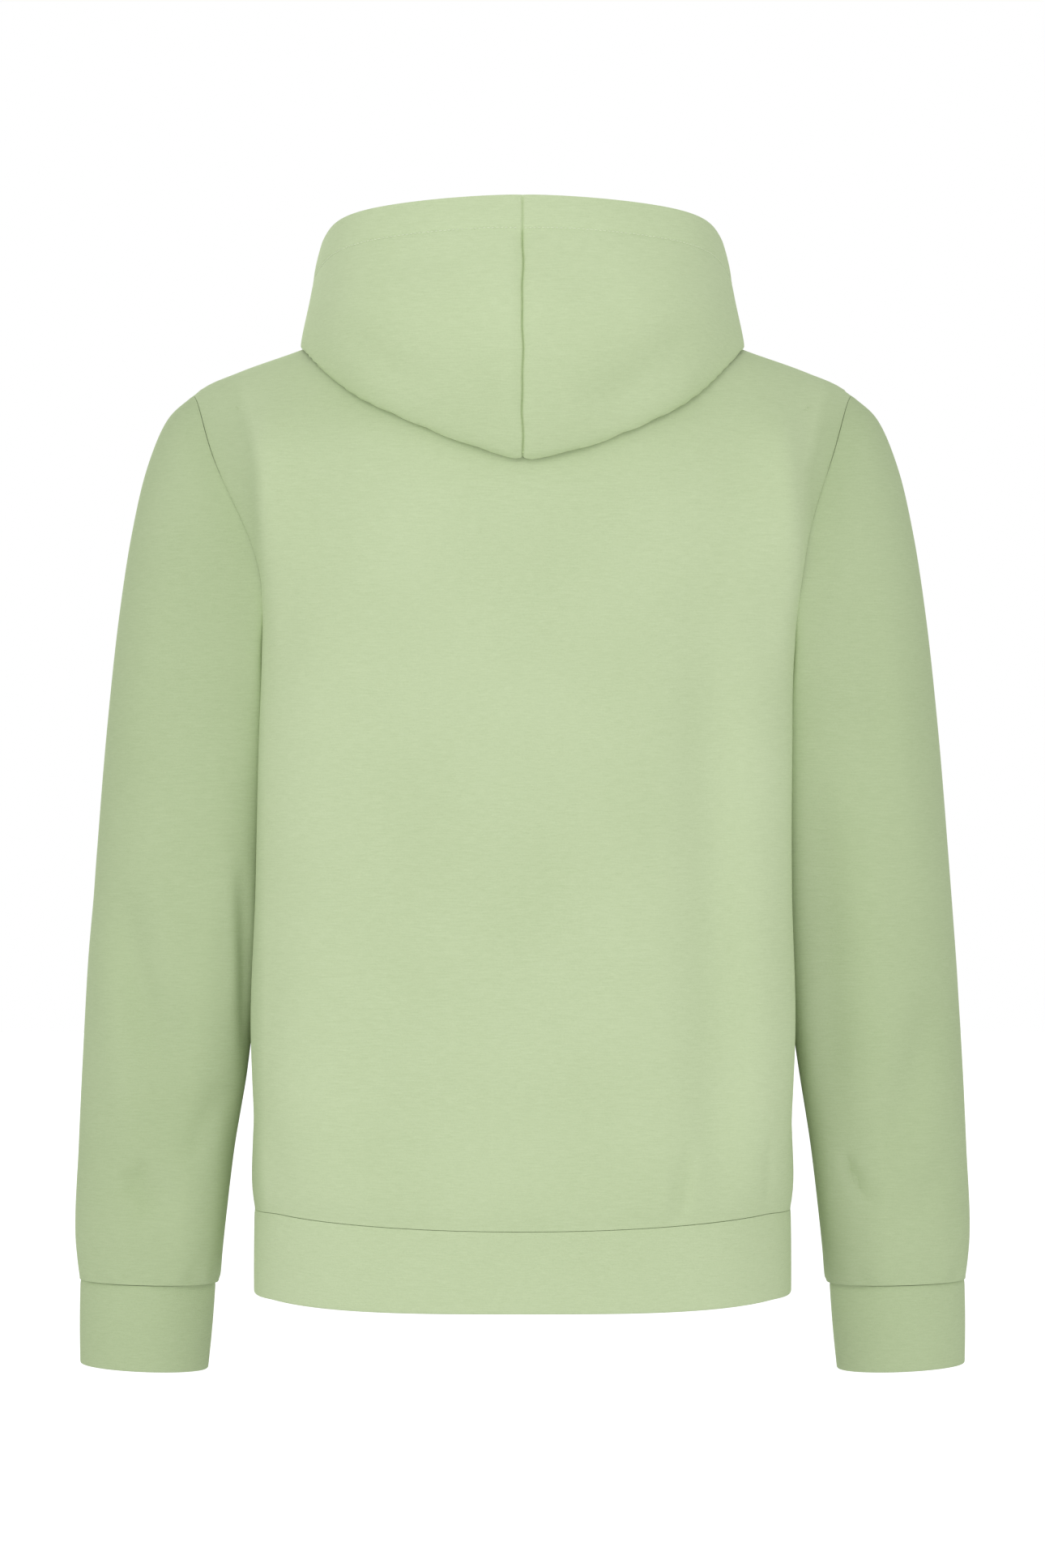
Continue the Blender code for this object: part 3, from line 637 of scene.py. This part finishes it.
def panelGrid(side):
    # half a back or front: rows from hem to neck, columns from its edge to the
    # centre, the rows dipping or rising towards the centre above the armpit
    lower = (body["hemSeamZ"] + (body["armpitZ"] - body["hemSeamZ"]) * panel["sideRows"])[:-1]
    hole = armholeEdge(np.linspace(math.pi, 0, holeSteps + 1), side)
    out = (body["shoulderTipX"] + (body["neckSideX"] - body["shoulderTipX"]) * panel["shoulder"])[1:]
    ridgeZ = fromTable(ridge, "z", out, "x")
    angle = np.concatenate((0 * lower, hole[0], sideAngle(out, ridgeZ)))
    edgeZ = np.concatenate((lower, hole[1], ridgeZ))
    edge = torsoPoint(side * angle, edgeZ)
    run = runAlong(edge, 0)
    share = np.clip((run - run[len(lower)]) / (run[-1] - run[len(lower)]), 0, 1)
    neck = body["neckBackZ"] if side > 0 else body["neckFrontZ"]
    centreZ = np.where(edgeZ <= body["armpitZ"], edgeZ, body["armpitZ"] + (neck - body["armpitZ"]) * share)
    innerX = 0.0 if side > 0 else body["zipSlot"] / 2
    last = sideAngle(innerX, edgeZ)
    step = spread(panel["columns"], panel["nearEdge"], () if side > 0 else panel["nearZip"], panel["crowding"])
    angles = angle[:, None] + (last - angle)[:, None] * step
    towardsEdge = np.cos(angles) / np.cos(angle)[:, None]
    z = centreZ[:, None] + (edgeZ - centreZ)[:, None] * towardsEdge**2
    points = torsoPoint(side * angles, z)
    points[:, -1, 0] = innerX
    points[..., 1] = side * np.maximum(side * points[..., 1], body["seamGap"] / 2)
    # the rows crowd together by the shoulder's tip, so they are spread evenly there
    start, end = (len(lower) + holeSteps + rows for rows in panel["tipRows"])
    columns = slice(1, panel["tipColumns"])
    for row in range(start + 1, end):
        share = (row - start) / (end - start)
        points[row, columns] = (1 - share) * points[start, columns] + share * points[end, columns]
    return points


def clothPanel(points, sides, zipEdge=None):
    # The cloth sinks beside its seams by a bell of the distance to each one, and
    # takes its creases.  Returns its two faces; the wall ends square at its seams.
    across, up = runAlong(points, 1), runAlong(points, 0)
    fromSide = np.min([across if column == 0 else across[:, -1:] - across for column in sides], axis=0)
    sink = body["seamDip"] * bell(fromSide, body["seamReach"])
    sink += body["seamDip"] * bell(up[-1:] - up, body["seamReach"])
    sink += body["hemDip"] * bell(up, body["hemReach"])
    normals = gridNormals(points)
    outer = points + (creaseHeight(points, normals, bodyCreases) - sink)[..., None] * normals
    normals = gridNormals(outer)
    holeStart = points.shape[0] - (len(panel["shoulder"]) - 1) - holeSteps
    for column in sides:
        for rows in (slice(0, holeStart), slice(holeStart + holeSteps, None)):
            normals[rows, column] = flattened(normals[rows, column], 1)
    if zipEdge is not None:
        normals[:, zipEdge] = flattened(normals[:, zipEdge], 0)
    normals[0] = flattened(normals[0], 2)
    return outer, outer - body["cloth"] * normals


backHalf, frontHalf = panelGrid(1), panelGrid(-1)[:, ::-1]
backGrid = np.concatenate((backHalf[:, :-1], mirrored(backHalf)), axis=1)
back = addWall("back_cloth", *clothPanel(backGrid, (0, -1)), material=backKnit, node="back", edge=0.0003)
fronts = addPair(
    "front_cloth", "front", clothPanel(frontHalf, (-1,), 0), clothPanel(mirrored(frontHalf), (0,), -1),
    material=knit, edge=0.0006,
)
print("back and fronts are made")


# sleeves and cuffs
sleeve = {
    "at": (0, 0.08, 0.16, 0.26, 0.36, 0.48, 0.62, 0.76, 0.88, 0.96, 1),
    "outerX": (0.234, 0.2518, 0.265, 0.2765, 0.2855, 0.2941, 0.3023, 0.31, 0.3158, 0.3191, 0.3168),
    "outerZ": (-0.051, -0.0682, -0.099, -0.148, -0.206, -0.285, -0.385, -0.488, -0.582, -0.65, -0.679),
    "innerX": (0.176, 0.1785, 0.179, 0.1775, 0.1775, 0.1787, 0.1794, 0.1876, 0.2, 0.2112, 0.2172),
    "innerZ": (-0.235, -0.251, -0.271, -0.298, -0.327, -0.371, -0.436, -0.512, -0.59, -0.6535, -0.6815),
    "y": (0, 0, 0, 0, 0, 0, 0, -0.003, -0.012, -0.019, -0.022),
    "depth": (0.056, 0.06, 0.062, 0.061, 0.059, 0.058, 0.058, 0.055, 0.048, 0.042, 0.038),
    "squareness": (2, 2.1, 2.2, 2.3, 2.3, 2.3, 2.3, 2.3, 2.3, 2.2, 2.2),
    # squareness against the body, and how far the front is drawn away from it
    "pressed": (2, 3.2, 4.4, 5, 5, 4.8, 4, 4.2, 4, 3.2, 2.4),
    "tuck": (0, 0, 0, 0, 0, 0.001, 0.006, 0.013, 0.012, 0.005, 0),
}
sleeveShape = {
    "start": (0.00022, 0.0, -0.00006),  # from the armhole to the sleeve's edge
    "holeFade": 0.3,
    "rounds": 96,
    "rings": 140,
    "cuffDip": 0.0003,
    "cuffReach": 0.006,
    "nearHole": (0, 0.0012, 0.003, 0.006),
    "nearCuff": (0, 0.0014, 0.003, 0.005, 0.008),
    "puckers": 0.0011,  # small gathers where the wide sleeve meets its cuff
    "puckerReach": 0.016,
    "puckerStart": 0.004,
    "gathers": ((9, 1, 0.6), (14, 2.3, 0.4)),  # waves: how many, shift and share
}
leftCreases = (
    (198.5, -370, 193.5, -545, -2, 5.2, -3.4, 1),
    (207, -360, 203, -500, -3, 5, 1.6, 1),
    (204, -528, 238, -604, 2, 10, -3, 1),
    (284, -380, 246, -540, 4, 15, -7, 1),
    (296, -400, 270, -600, 3, 14, 2.6, 1),
    (276, -590, 248, -634, 4, 11, -7, 1),
    (296, -640, 262, -652, 2, 5, 1.2, 1),
    (228, -160, 252, -330, 6, 14, -2.2, 1),
    (290, -330, 225, -420, 10, 13, -3, -1),
    (296, -380, 232, -450, 8, 11, -2.2, -1),
    (300, -600, 240, -645, 4, 9, -2.4, -1),
)
rightCreases = (
    (-204, -280, -216, -600, -4, 19, -8, 1),
    (-224, -580, -249, -626, 3, 3.8, -4.8, 1),
    (-292, -450, -252, -600, -4, 15, -4, 1),
    (-300, -590, -262, -640, -3, 8.5, -1.8, 1),
    (-226, -170, -246, -330, -6, 14, -2.2, 1),
    (-262, -240, -285, -420, 4, 14, 1.6, 1),
    (-290, -340, -226, -440, -9, 13, -3, -1),
    (-298, -410, -238, -480, -6, 11, -2, -1),
    (-296, -610, -244, -650, -4, 9, -2.4, -1),
)


def sleeveGrid():
    # rings between an outer and an inner point, blended out of the armhole
    rounds = sleeveShape["rounds"]
    turn = np.linspace(0, 2 * math.pi, rounds + 1)[:-1]
    hole = np.empty((rounds, 3))
    for side, onSide in ((1, turn <= math.pi), (-1, turn > math.pi)):
        angle, z = armholeEdge(np.minimum(turn, 2 * math.pi - turn)[onSide], side)
        hole[onSide] = torsoPoint(side * angle, z)
    at = spread(sleeveShape["rings"], sleeveShape["nearHole"], sleeveShape["nearCuff"])
    ring = allRows(sleeve, at)
    power = 2 / np.where(np.cos(turn) < 0, ring["pressed"], ring["squareness"])
    outwards = np.sign(np.cos(turn)) * np.abs(np.cos(turn)) ** power
    backwards = np.sign(np.sin(turn)) * np.abs(np.sin(turn)) ** power
    x = ring["innerX"] + (ring["outerX"] - ring["innerX"]) * (1 + outwards) / 2
    x = x + ring["tuck"] * (1 - outwards) * (1 - backwards) / 4
    z = ring["innerZ"] + (ring["outerZ"] - ring["innerZ"]) * (1 + outwards) / 2
    points = np.stack((x, ring["y"] + ring["depth"] * backwards, z), axis=-1)
    fade = np.clip(1 - at / sleeveShape["holeFade"], 0, 1)[:, None, None] ** 2
    points = points + (hole + sleeveShape["start"] - points[0]) * fade
    return points[:, ::-1], turn[::-1]


def sleeveWall(points, turn, creases, phase):
    # the sleeve sinks at both seams, takes its creases and gathers above the cuff
    run = runAlong(points, 0)
    toCuff = run[-1:] - run
    sink = body["seamDip"] * bell(run, body["seamReach"])
    sink += sleeveShape["cuffDip"] * bell(toCuff, sleeveShape["cuffReach"])
    gather = sum(np.sin(count * turn + shift * phase) * part for count, shift, part in sleeveShape["gathers"])
    gather = gather * bell(toCuff, sleeveShape["puckerReach"])
    sink += sleeveShape["puckers"] * gather * softStep(toCuff / sleeveShape["puckerStart"])
    normals = gridNormals(points, wrap=True)
    outer = points + (creaseHeight(points, normals, creases) - sink)[..., None] * normals
    return outer, outer - body["cloth"] * gridNormals(outer, wrap=True)


grid, turn = sleeveGrid()
sleeves = addPair(
    "sleeve_cloth", "sleeve", sleeveWall(grid, turn, leftCreases, 0.7),
    sleeveWall(mirrored(grid), turn[::-1], rightCreases, 2.1),
    wrap=True, material=sleeveKnit, slot="sleeve_cloth", edge=0.0006,
)

cuff = {
    "outerX": (0.316, 0.3163, 0.3165),
    "outerZ": (-0.6795, -0.711, -0.7402),
    "innerX": (0.2196, 0.2224, 0.2252),
    "innerZ": (-0.682, -0.714, -0.7445),
    "y": (-0.022, -0.0235, -0.025),
    "depth": (0.0365, 0.0355, 0.0345),
    "at": (0.0, 0.5, 1.0),
}
rib = {
    "thick": 0.003,
    "seamDip": 0.0003,
    "seamReach": 0.0022,
    "bulge": 0.0004,
    "fullness": 0.92,  # how much of the wall the fold's rounding takes up
    "cuffRows": 16,
    "bandRows": 18,
}


def ribWall(points, wrap, ends=()):
    # sinks at its seam, swells a little between seam and fold, and rounds off at
    # the fold, where the two layers turn into each other
    run = runAlong(points, 0)
    toFold = run[-1:] - run
    height = rib["bulge"] * np.sin(math.pi * run / run[-1:])
    height -= rib["seamDip"] * bell(run, rib["seamReach"])
    normals = flattened(gridNormals(points, wrap), 2)
    for column in ends:
        normals[:, column] = flattened(normals[:, column], 0)
    outer = points + height[..., None] * normals
    inner = outer - rib["thick"] * normals
    half = rib["thick"] / 2
    rounding = np.sqrt(np.clip(1 - (1 - np.clip(toFold / half, 0, 1)) ** 2, 0, 1))
    tuck = (1 - rounding)[..., None] * half * rib["fullness"]
    return outer - tuck * normals, inner + tuck * normals


def ribRows(count):
    return spread(count, (0, 0.01, 0.025, 0.045), (0, 0.001, 0.003, 0.007, 0.013, 0.025))


def cuffGrid():
    turn = np.linspace(0, 2 * math.pi, sleeveShape["rounds"] + 1)[:-1]
    share = (1 + np.cos(turn)) / 2
    row = allRows(cuff, ribRows(rib["cuffRows"]))
    x = row["innerX"] + (row["outerX"] - row["innerX"]) * share
    z = row["innerZ"] + (row["outerZ"] - row["innerZ"]) * share
    return np.stack((x, row["y"] + row["depth"] * np.sin(turn), z), axis=-1)[:, ::-1]


grid = cuffGrid()
cuffs = addPair(
    "cuff_rib", "cuff", ribWall(grid, True), ribWall(mirrored(grid), True),
    wrap=True, material=cuffKnit, slot="rib",
)
print("sleeves and cuffs are made")


# the hem band
band = {
    "z": (-0.6318, -0.66, -0.688),
    "width": (0.999, 0.999, 1.001),  # shares of the body's last section
    "depth": (1.0, 0.996, 0.992),
    "at": (0.0, 0.5, 1.0),
}


def bandGrid():
    # the body's last section from zip edge to zip edge, scaled a little at each level
    last = sideAngle(body["zipSlot"] / 2, body["hemSeamZ"])
    quarter = spread(panel["columns"], (0,), (0.006,), panel["crowding"])
    angle = np.concatenate((-last * quarter[:0:-1], math.pi / 2 * quarter))
    half = torsoPoint(angle, np.full_like(angle, body["hemSeamZ"]))
    half[0, 0] = body["zipSlot"] / 2
    whole = np.concatenate((half[:-1], (half * (-1, 1, 1))[::-1]))
    row = allRows(band, ribRows(rib["bandRows"]))
    x = whole[:, 0] * row["width"]
    x[:, 0], x[:, -1] = body["zipSlot"] / 2, -body["zipSlot"] / 2
    # rows run down here, so the columns are turned to keep the outside out
    return np.stack((x, whole[:, 1] * row["depth"], row["z"] + 0 * x), axis=-1)[:, ::-1]


hemBand = addWall(
    "hem_band_rib", *ribWall(bandGrid(), False, (0, -1)),
    material=ribKnit, node="hem_band", slot="rib",
)
print("hem band is made")


# the hood
hood = {
    "seamGap": 0.00002,
    "neckGap": 0.0005,
    "rollCurl": 0.06,  # how broadly it turns over at its roll
    "legPull": 0.06,  # how far it stands up before it turns
    "curlFrom": 0.4,
    "parts": (24, 34, 40, 50),  # steps from each rail to the next
    "rows": 92,
    # rows by their distance from the rim, one of them on the casing's stitches
    "rimRows": (
        0, 0.0008, 0.002, 0.004, 0.008, 0.012, 0.016, 0.0195,
        0.0215, 0.0225, 0.023, 0.0235, 0.024, 0.025, 0.027,
    ),
    "rimGap": 0.002,
    "shortRim": (0.5, 0.45),  # most of a short column that the casing's rows take
    "casing": 0.0235,  # from the rim to the casing's stitches
    "casingSoft": (0.002, 0.003),
    "casingPuff": 0.0007,
    "stitchDip": 0.0004,
    "stitchReach": 0.0012,
    "seamColumns": (0.0005, 0.0011, 0.002, 0.0032, 0.005, 0.0075, 0.011, 0.016),  # shares of the half
    "groove": 0.0018,  # the thin line that the seam draws
    "grooveReach": 0.0007,
    "grooveTight": 0.3,  # how much of it the casing presses flat
    "grooveFrom": (0.1, 0.02),
    "grooveRim": (0.004, 0.3),
    "seamDip": 0.002,  # the valley round it below the casing
    "seamReach": 0.0042,
    "seamTight": 0.0004,  # the same valley across the stiff casing
    "seamFrom": (0.02, 0.05),  # shallow inside, by the neck
    "seamInside": 0.25,
    "wave": 0.0006,  # how far the seam wavers sideways
    "waveReach": 0.02,
    "waves": ((95, 0, 0.6), (210, 1, 0.4)),  # waves a metre, shift and share
    "point": 0.003,  # how far the seam draws the fold down
    "pointReach": 0.02,
    "pointFrom": (0.1, 0.05),
}
# rails that the hood runs through, from the zip to the centre back
railAt = (0, 0.2, 0.45, 0.62, 0.8, 1)
roll = {
    "at": railAt,
    "x": (0.0095, 0.062, 0.106, 0.106, 0.074, 0),
    "y": (-0.0985, -0.085, -0.035, 0.015, 0.064, 0.089),
    "z": (-0.064, -0.036, 0.022, 0.047, 0.053, 0.055),
}
fold = {
    "at": railAt,
    "x": (0.013, 0.086, 0.1495, 0.152, 0.103, 0),
    "y": (-0.1015, -0.083, -0.03, 0.0345, 0.0925, 0.1145),
    "z": (-0.053, -0.048, -0.018, -0.024, -0.069, -0.1035),
}
bulge = {
    "at": railAt,
    "x": (0.0165, 0.095, 0.1465, 0.1462, 0.112, 0),
    "y": (-0.1035, -0.089, -0.033, 0.042, 0.12, 0.155),
    "z": (-0.043, -0.03, 0.01, 0.016, -0.01, -0.016),
}
rim = {
    "at": railAt,
    "x": (0.02, 0.09, 0.142, 0.1385, 0.106, 0),
    "y": (-0.1045, -0.09, -0.033, 0.045, 0.106, 0.134),
    "z": (-0.034, -0.008, 0.034, 0.055, 0.066, 0.072),
}
foldTurn = {
    "at": railAt,
    "out": (0, 0.014, 0.01, 0.01, 0.022, 0.03),
    "down": (0, 0.006, 0.004, 0.006, 0.006, 0),
}
hoodCreases = (
    (-138, 4, -30, -78, -12, 17, -5.2, 1),
    (-120, 30, -60, -10, -6, 16, 1.4, 1),
    (-12, -10, -52, -28, 3, 7, -1, 1),
    (-20, 10, -70, 26, 4, 12, -1.2, 1),
    (132, -2, 52, -66, 10, 12, -2.8, 1),
    (100, 22, 40, 26, -4, 10, -1.2, 1),
    (30, -30, 6, -76, -3, 8, 1, 1),
)


def railPoints(rail, at):
    # a rail of the left half, carried over the centre back so it crosses smoothly
    whole = {"at": list(rail["at"]) + [2 - a for a in rail["at"][-2::-1]]}
    for axis, sign in (("x", -1), ("y", 1), ("z", 1)):
        whole[axis] = list(rail[axis]) + [sign * v for v in rail[axis][-2::-1]]
    return np.stack([fromTable(whole, axis, at) for axis in "xyz"], axis=-1)


def bridge(start, startPull, end, endPull, count):
    # the rows from one rail to the next, without the last
    s = np.linspace(0, 1, count + 1)[:-1, None, None]
    return cubic(s, start, startPull, end, endPull)


def hoodGrid():
    # up from the neckline, over the roll, down to the fold and up to the rim
    neck = np.concatenate((frontHalf[-1], backHalf[-1, 1:])) + (0, 0, hood["neckGap"])
    run = runAlong(neck, 0)
    at = np.union1d(run / run[-1], 1 - np.array(hood["seamColumns"]))
    neck = resampled(at * run[-1], run, neck)
    rails = [railPoints(rail, at) for rail in (roll, fold, bulge, rim)]
    out = neck * (1, 1, 0)
    out /= np.linalg.norm(out, axis=-1, keepdims=True)
    up = np.array((0, 0, 1))
    curl = softStep(at / hood["curlFrom"])[:, None]
    neckPull = curl * up * hood["legPull"] + (1 - curl) * (rails[0] - neck)
    rollPull = curl * out * hood["rollCurl"] + (1 - curl) * (rails[1] - neck) / 2
    turn = allRows(foldTurn, at)
    foldPull = curl * (turn["out"] * out - turn["down"] * up) + (1 - curl) * (rails[2] - rails[0]) / 2
    rise = rails[3] - rails[1]
    stops = (neck, *rails)
    pulls = (neckPull, rollPull, foldPull, rise / 2, rails[3] - rails[2])
    spans = zip(stops, pulls, stops[1:], pulls[1:], hood["parts"])
    return evenRows(np.concatenate((*(bridge(*span) for span in spans), rails[3][None])))


def evenRows(dense):
    # the same columns, walked again with even rows and closer ones at the casing
    run = runAlong(dense, 0)
    fromRim = np.array(hood["rimRows"])
    share = np.linspace(0, 1, hood["rows"])[:-1]
    columns = []
    for column in range(dense.shape[1]):
        total = run[-1, column]
        last = min(fromRim[-1] + hood["rimGap"], total * hood["shortRim"][0])
        scale = min(1.0, total * hood["shortRim"][1] / fromRim[-1])
        wanted = np.concatenate((share * (total - last), total - fromRim[::-1] * scale))
        columns.append(resampled(wanted, run[:, column], dense[:, column]))
    return np.stack(columns, axis=1)


def hoodWall(points, centre):
    # A bell-shaped valley beside the crown seam, tight across the casing and
    # deeper below it; the casing puffs between its rim and its stitches.
    across, up = runAlong(points, 1), runAlong(points, 0)
    toSeam = across if centre == 0 else across[:, -1:] - across
    toRim = up[-1:] - up

    def beyond(name):
        start, soft = hood[name]
        return softStep((up - start) / soft)

    inCasing = softStep((hood["casing"] + hood["casingSoft"][0] - toRim) / hood["casingSoft"][1])
    depth = hood["seamDip"] + (hood["seamTight"] - hood["seamDip"]) * inCasing
    depth *= beyond("seamFrom") * (1 - hood["seamInside"]) + hood["seamInside"]
    sink = depth * bell(toSeam, hood["seamReach"])
    cut = hood["groove"] * softStep(toRim / hood["grooveRim"][0] + hood["grooveRim"][1]) * beyond("grooveFrom")
    cut *= 1 - hood["grooveTight"] * inCasing
    sink += cut * bell(toSeam, hood["grooveReach"])
    sink += body["seamDip"] * bell(up, body["seamReach"])
    sink += hood["stitchDip"] * bell(toRim - hood["casing"], hood["stitchReach"])
    sink -= hood["casingPuff"] * inCasing * np.sin(math.pi * np.clip(toRim / hood["casing"], 0, 1))
    normals = gridNormals(points)
    outer = points + (creaseHeight(points, normals, hoodCreases) - sink)[..., None] * normals
    near = bell(toSeam, hood["waveReach"]) * (1 - inCasing)
    wave = sum(np.sin(up * often + shift) * part for often, shift, part in hood["waves"])
    outer[..., 0] += hood["wave"] * wave * near
    drawn = np.exp(-toSeam / hood["pointReach"]) * beyond("pointFrom") * (1 - inCasing)
    outer[..., 2] -= hood["point"] * drawn
    normals = gridNormals(outer)
    normals[:, centre] = flattened(normals[:, centre], 0)
    return outer, outer - body["cloth"] * normals


hoodHalf = hoodGrid()
hoodHalf[:, -1, 0] = hood["seamGap"] / 2
hoodWalls = hoodWall(hoodHalf, -1), hoodWall(mirrored(hoodHalf), 0)
hoods = addPair("hood_cloth", "hood", *hoodWalls, material=hoodKnit, slot="hood_cloth", edge=0.0006)
print("hood is made")


# sewn stitches
stitch = {
    "long": 0.0023,
    "pitch": 0.003,
    "thick": 0.00048,
    "proud": 0.00025,
    "ahead": 0.0005,
    "sides": 6,
    # a thread is four rings between two end points
    "along": (-0.5, -0.42, -0.15, 0.15, 0.42, 0.5),
    "wide": (0, 0.75, 1, 1, 0.75, 0),
    "lift": (-0.8, -0.25, 0, 0, -0.25, -0.8),
    "flat": 0.7,
}


def ringQuads(sides, rings):
    # faces between rings of points that follow each other
    k = np.arange(sides)
    after = (k + 1) % sides
    quad = np.stack((k, after, sides + after, sides + k), axis=-1)
    return np.concatenate([quad + sides * ring for ring in range(rings - 1)])


def stitchRow(name, path, normals, slot):
    # small rounded threads end to end along a path, each lying on the cloth
    run = runAlong(path, 0)
    at = np.arange(stitch["pitch"], run[-1] - stitch["pitch"], stitch["pitch"])
    place = resampled(at, run, path)
    out = resampled(at, run, normals)
    out /= np.linalg.norm(out, axis=-1, keepdims=True)
    ahead = resampled(at + stitch["ahead"], run, path) - place
    ahead /= np.linalg.norm(ahead, axis=-1, keepdims=True)
    beside = np.cross(out, ahead)
    along = np.array(stitch["along"]) * stitch["long"]
    wide = np.array(stitch["wide"]) * stitch["thick"]
    lift = np.array(stitch["lift"]) * stitch["thick"] + stitch["proud"]
    sides, rings = stitch["sides"], len(along) - 2
    turn = np.linspace(0, 2 * math.pi, sides + 1)[:-1]
    ringAlong = np.repeat(along[1:-1], sides)
    ringSide = (wide[1:-1, None] * np.cos(turn)).ravel()
    ringUp = (wide[1:-1, None] * stitch["flat"] * np.sin(turn) + lift[1:-1, None]).ravel()
    a = np.concatenate(([along[0]], ringAlong, [along[-1]]))
    b = np.concatenate(([0.0], ringSide, [0.0]))
    c = np.concatenate(([lift[0]], ringUp, [lift[-1]]))
    points = a[:, None] * ahead[:, None] + b[:, None] * beside[:, None] + c[:, None] * out[:, None]
    k = np.arange(sides)
    after = (k + 1) % sides
    last, tip = 1 + sides * (rings - 1), 1 + sides * rings
    caps = np.stack(((0 * k, 1 + after, 1 + k), (tip + 0 * k, last + k, last + after)))
    offsets = (tip + 1) * np.arange(len(at))[:, None, None]
    faces = (1 + ringQuads(sides, rings) + offsets).reshape(-1, 4).tolist()
    faces += (caps.transpose(0, 2, 1).reshape(-1, 3) + offsets).reshape(-1, 3).tolist()
    return addPiece(name, place[:, None] + points, faces, thread, slot=slot)


def casingRow(name, outer):
    # the row of the hood's grid that lies on the casing's stitch line
    row = outer.shape[0] - 1 - hood["rimRows"].index(hood["casing"])
    return stitchRow(name, outer[row], gridNormals(outer)[row], "hood_cloth")


casings = [casingRow(f"{side}_casing_stitches", wall[0]) for side, wall in zip(("left", "right"), hoodWalls)]
print("casing stitches are made")


# the zip
zipper = {
    "tapeOut": (-0.0054, -0.0046),
    "tapeFrom": 0.0011,  # the teeth are moulded round the tape's cord
    "tapeTo": 0.0161,
    "besideBox": 0.0046,
    "footGap": 0.0006,
    "footRows": 4,
    "footStep": 0.0003,
    "chainOut": -0.0047,  # middle of the teeth
    "toothPitch": 0.0022,
    "tooth": (0.0036, 0.0026, 0.0012),
    "toothLean": 0.00085,  # how far each row of teeth stands to its own side
    "boxHigh": 0.008,
    "topZ": -0.078,
    "tapeRows": 180,
    "tapeColumns": (0, 0.04, 0.08, 0.12, 0.17, 0.5, 0.9, 1),
    "cord": (0.35, 0.8, 1, 0.7, 0, 0, 0, 0),  # how its edge swells at each column
    "cordSwell": 0.0004,
    "teethGap": 0.001,
    # a tooth: its section's outline, where its rings lie and how large they are
    "section": ((1, 0.6), (0.6, 1), (-0.6, 1), (-1, 0.6), (-1, -0.6), (-0.6, -1), (0.6, -1), (1, -0.6)),
    "ringsAt": (-0.5, -0.36, 0.36, 0.5),
    "ringSize": (0.72, 1.0, 1.0, 0.72),
}


def zipLine():
    # y and z down the centre front, along the band's edge and the fronts' edge
    front = frontHalf[:, 0]
    z = np.array(band["z"][::-1])
    y = front[0, 1] * np.array(band["depth"][::-1])
    return np.concatenate((y[:2], front[:, 1])), np.concatenate((z[:2], front[:, 2]))


def zipTape(side):
    # A flat strip behind the front's edge, with a rolled cord at the teeth.  It
    # steps back to pass the box at its foot.
    lineY, lineZ = zipLine()
    boxTop = body["hemEndZ"] + zipper["boxHigh"]
    foot = np.linspace(body["hemEndZ"] + zipper["footGap"], boxTop, zipper["footRows"])
    z = np.concatenate((foot, np.linspace(boxTop + zipper["footStep"], zipper["topZ"], zipper["tapeRows"])))
    y = np.interp(z, lineZ, lineY)
    start = np.where(z <= boxTop, zipper["besideBox"], zipper["tapeFrom"])[:, None]
    x = start + (zipper["tapeTo"] - start) * np.array(zipper["tapeColumns"])
    swell = np.array(zipper["cord"]) * zipper["cordSwell"]
    faces = []
    for out, sign in ((zipper["tapeOut"][1], 1), (zipper["tapeOut"][0], -1)):
        faces.append(np.stack((x, y[:, None] - out - sign * swell, z[:, None] + 0 * x), axis=-1))
    if side < 0:
        faces = [mirrored(face) for face in faces]
    return faces


def zipTeeth():
    # two rows of small chamfered teeth, each between two of the other row's
    lineY, lineZ = zipLine()
    low = body["hemEndZ"] + zipper["boxHigh"] + zipper["teethGap"]
    z = np.arange(low, zipper["topZ"], zipper["toothPitch"] / 2)
    side = np.where(np.arange(len(z)) % 2 == 0, 1.0, -1.0)
    y = np.interp(z, lineZ, lineY) - zipper["chainOut"]
    place = np.stack((side * zipper["toothLean"], y, z), axis=-1)
    ring = np.array(zipper["section"]) / 2
    shape = np.concatenate([
        np.stack((at + 0 * ring[:, 0], ring[:, 0] * size, ring[:, 1] * size), axis=-1)
        for at, size in zip(zipper["ringsAt"], zipper["ringSize"])
    ]) * zipper["tooth"]
    points = place[:, None] + shape
    sides, rings = len(ring), len(zipper["ringsAt"])
    k = np.arange(sides)
    offsets = len(shape) * np.arange(len(z))
    faces = (ringQuads(sides, rings) + offsets[:, None, None]).reshape(-1, 4).tolist()
    faces += (k[::-1] + offsets[:, None]).tolist() + (sides * (rings - 1) + k + offsets[:, None]).tolist()
    return addPiece("zip_teeth", points, faces, teethPlastic.material, node="zip_chain", slot="zip_teeth")


tapes = addPair("zip_tape", "zip_tape", zipTape(1), zipTape(-1), material=wovenTape, slot="zip_tape")
zipTeeth()
for node in ("zip_box", "zip_slider", "zip_pull"):
    for materialSlot in bpy.data.objects[node].material_slots:
        materialSlot.material = nickel.material
print("zip is made")
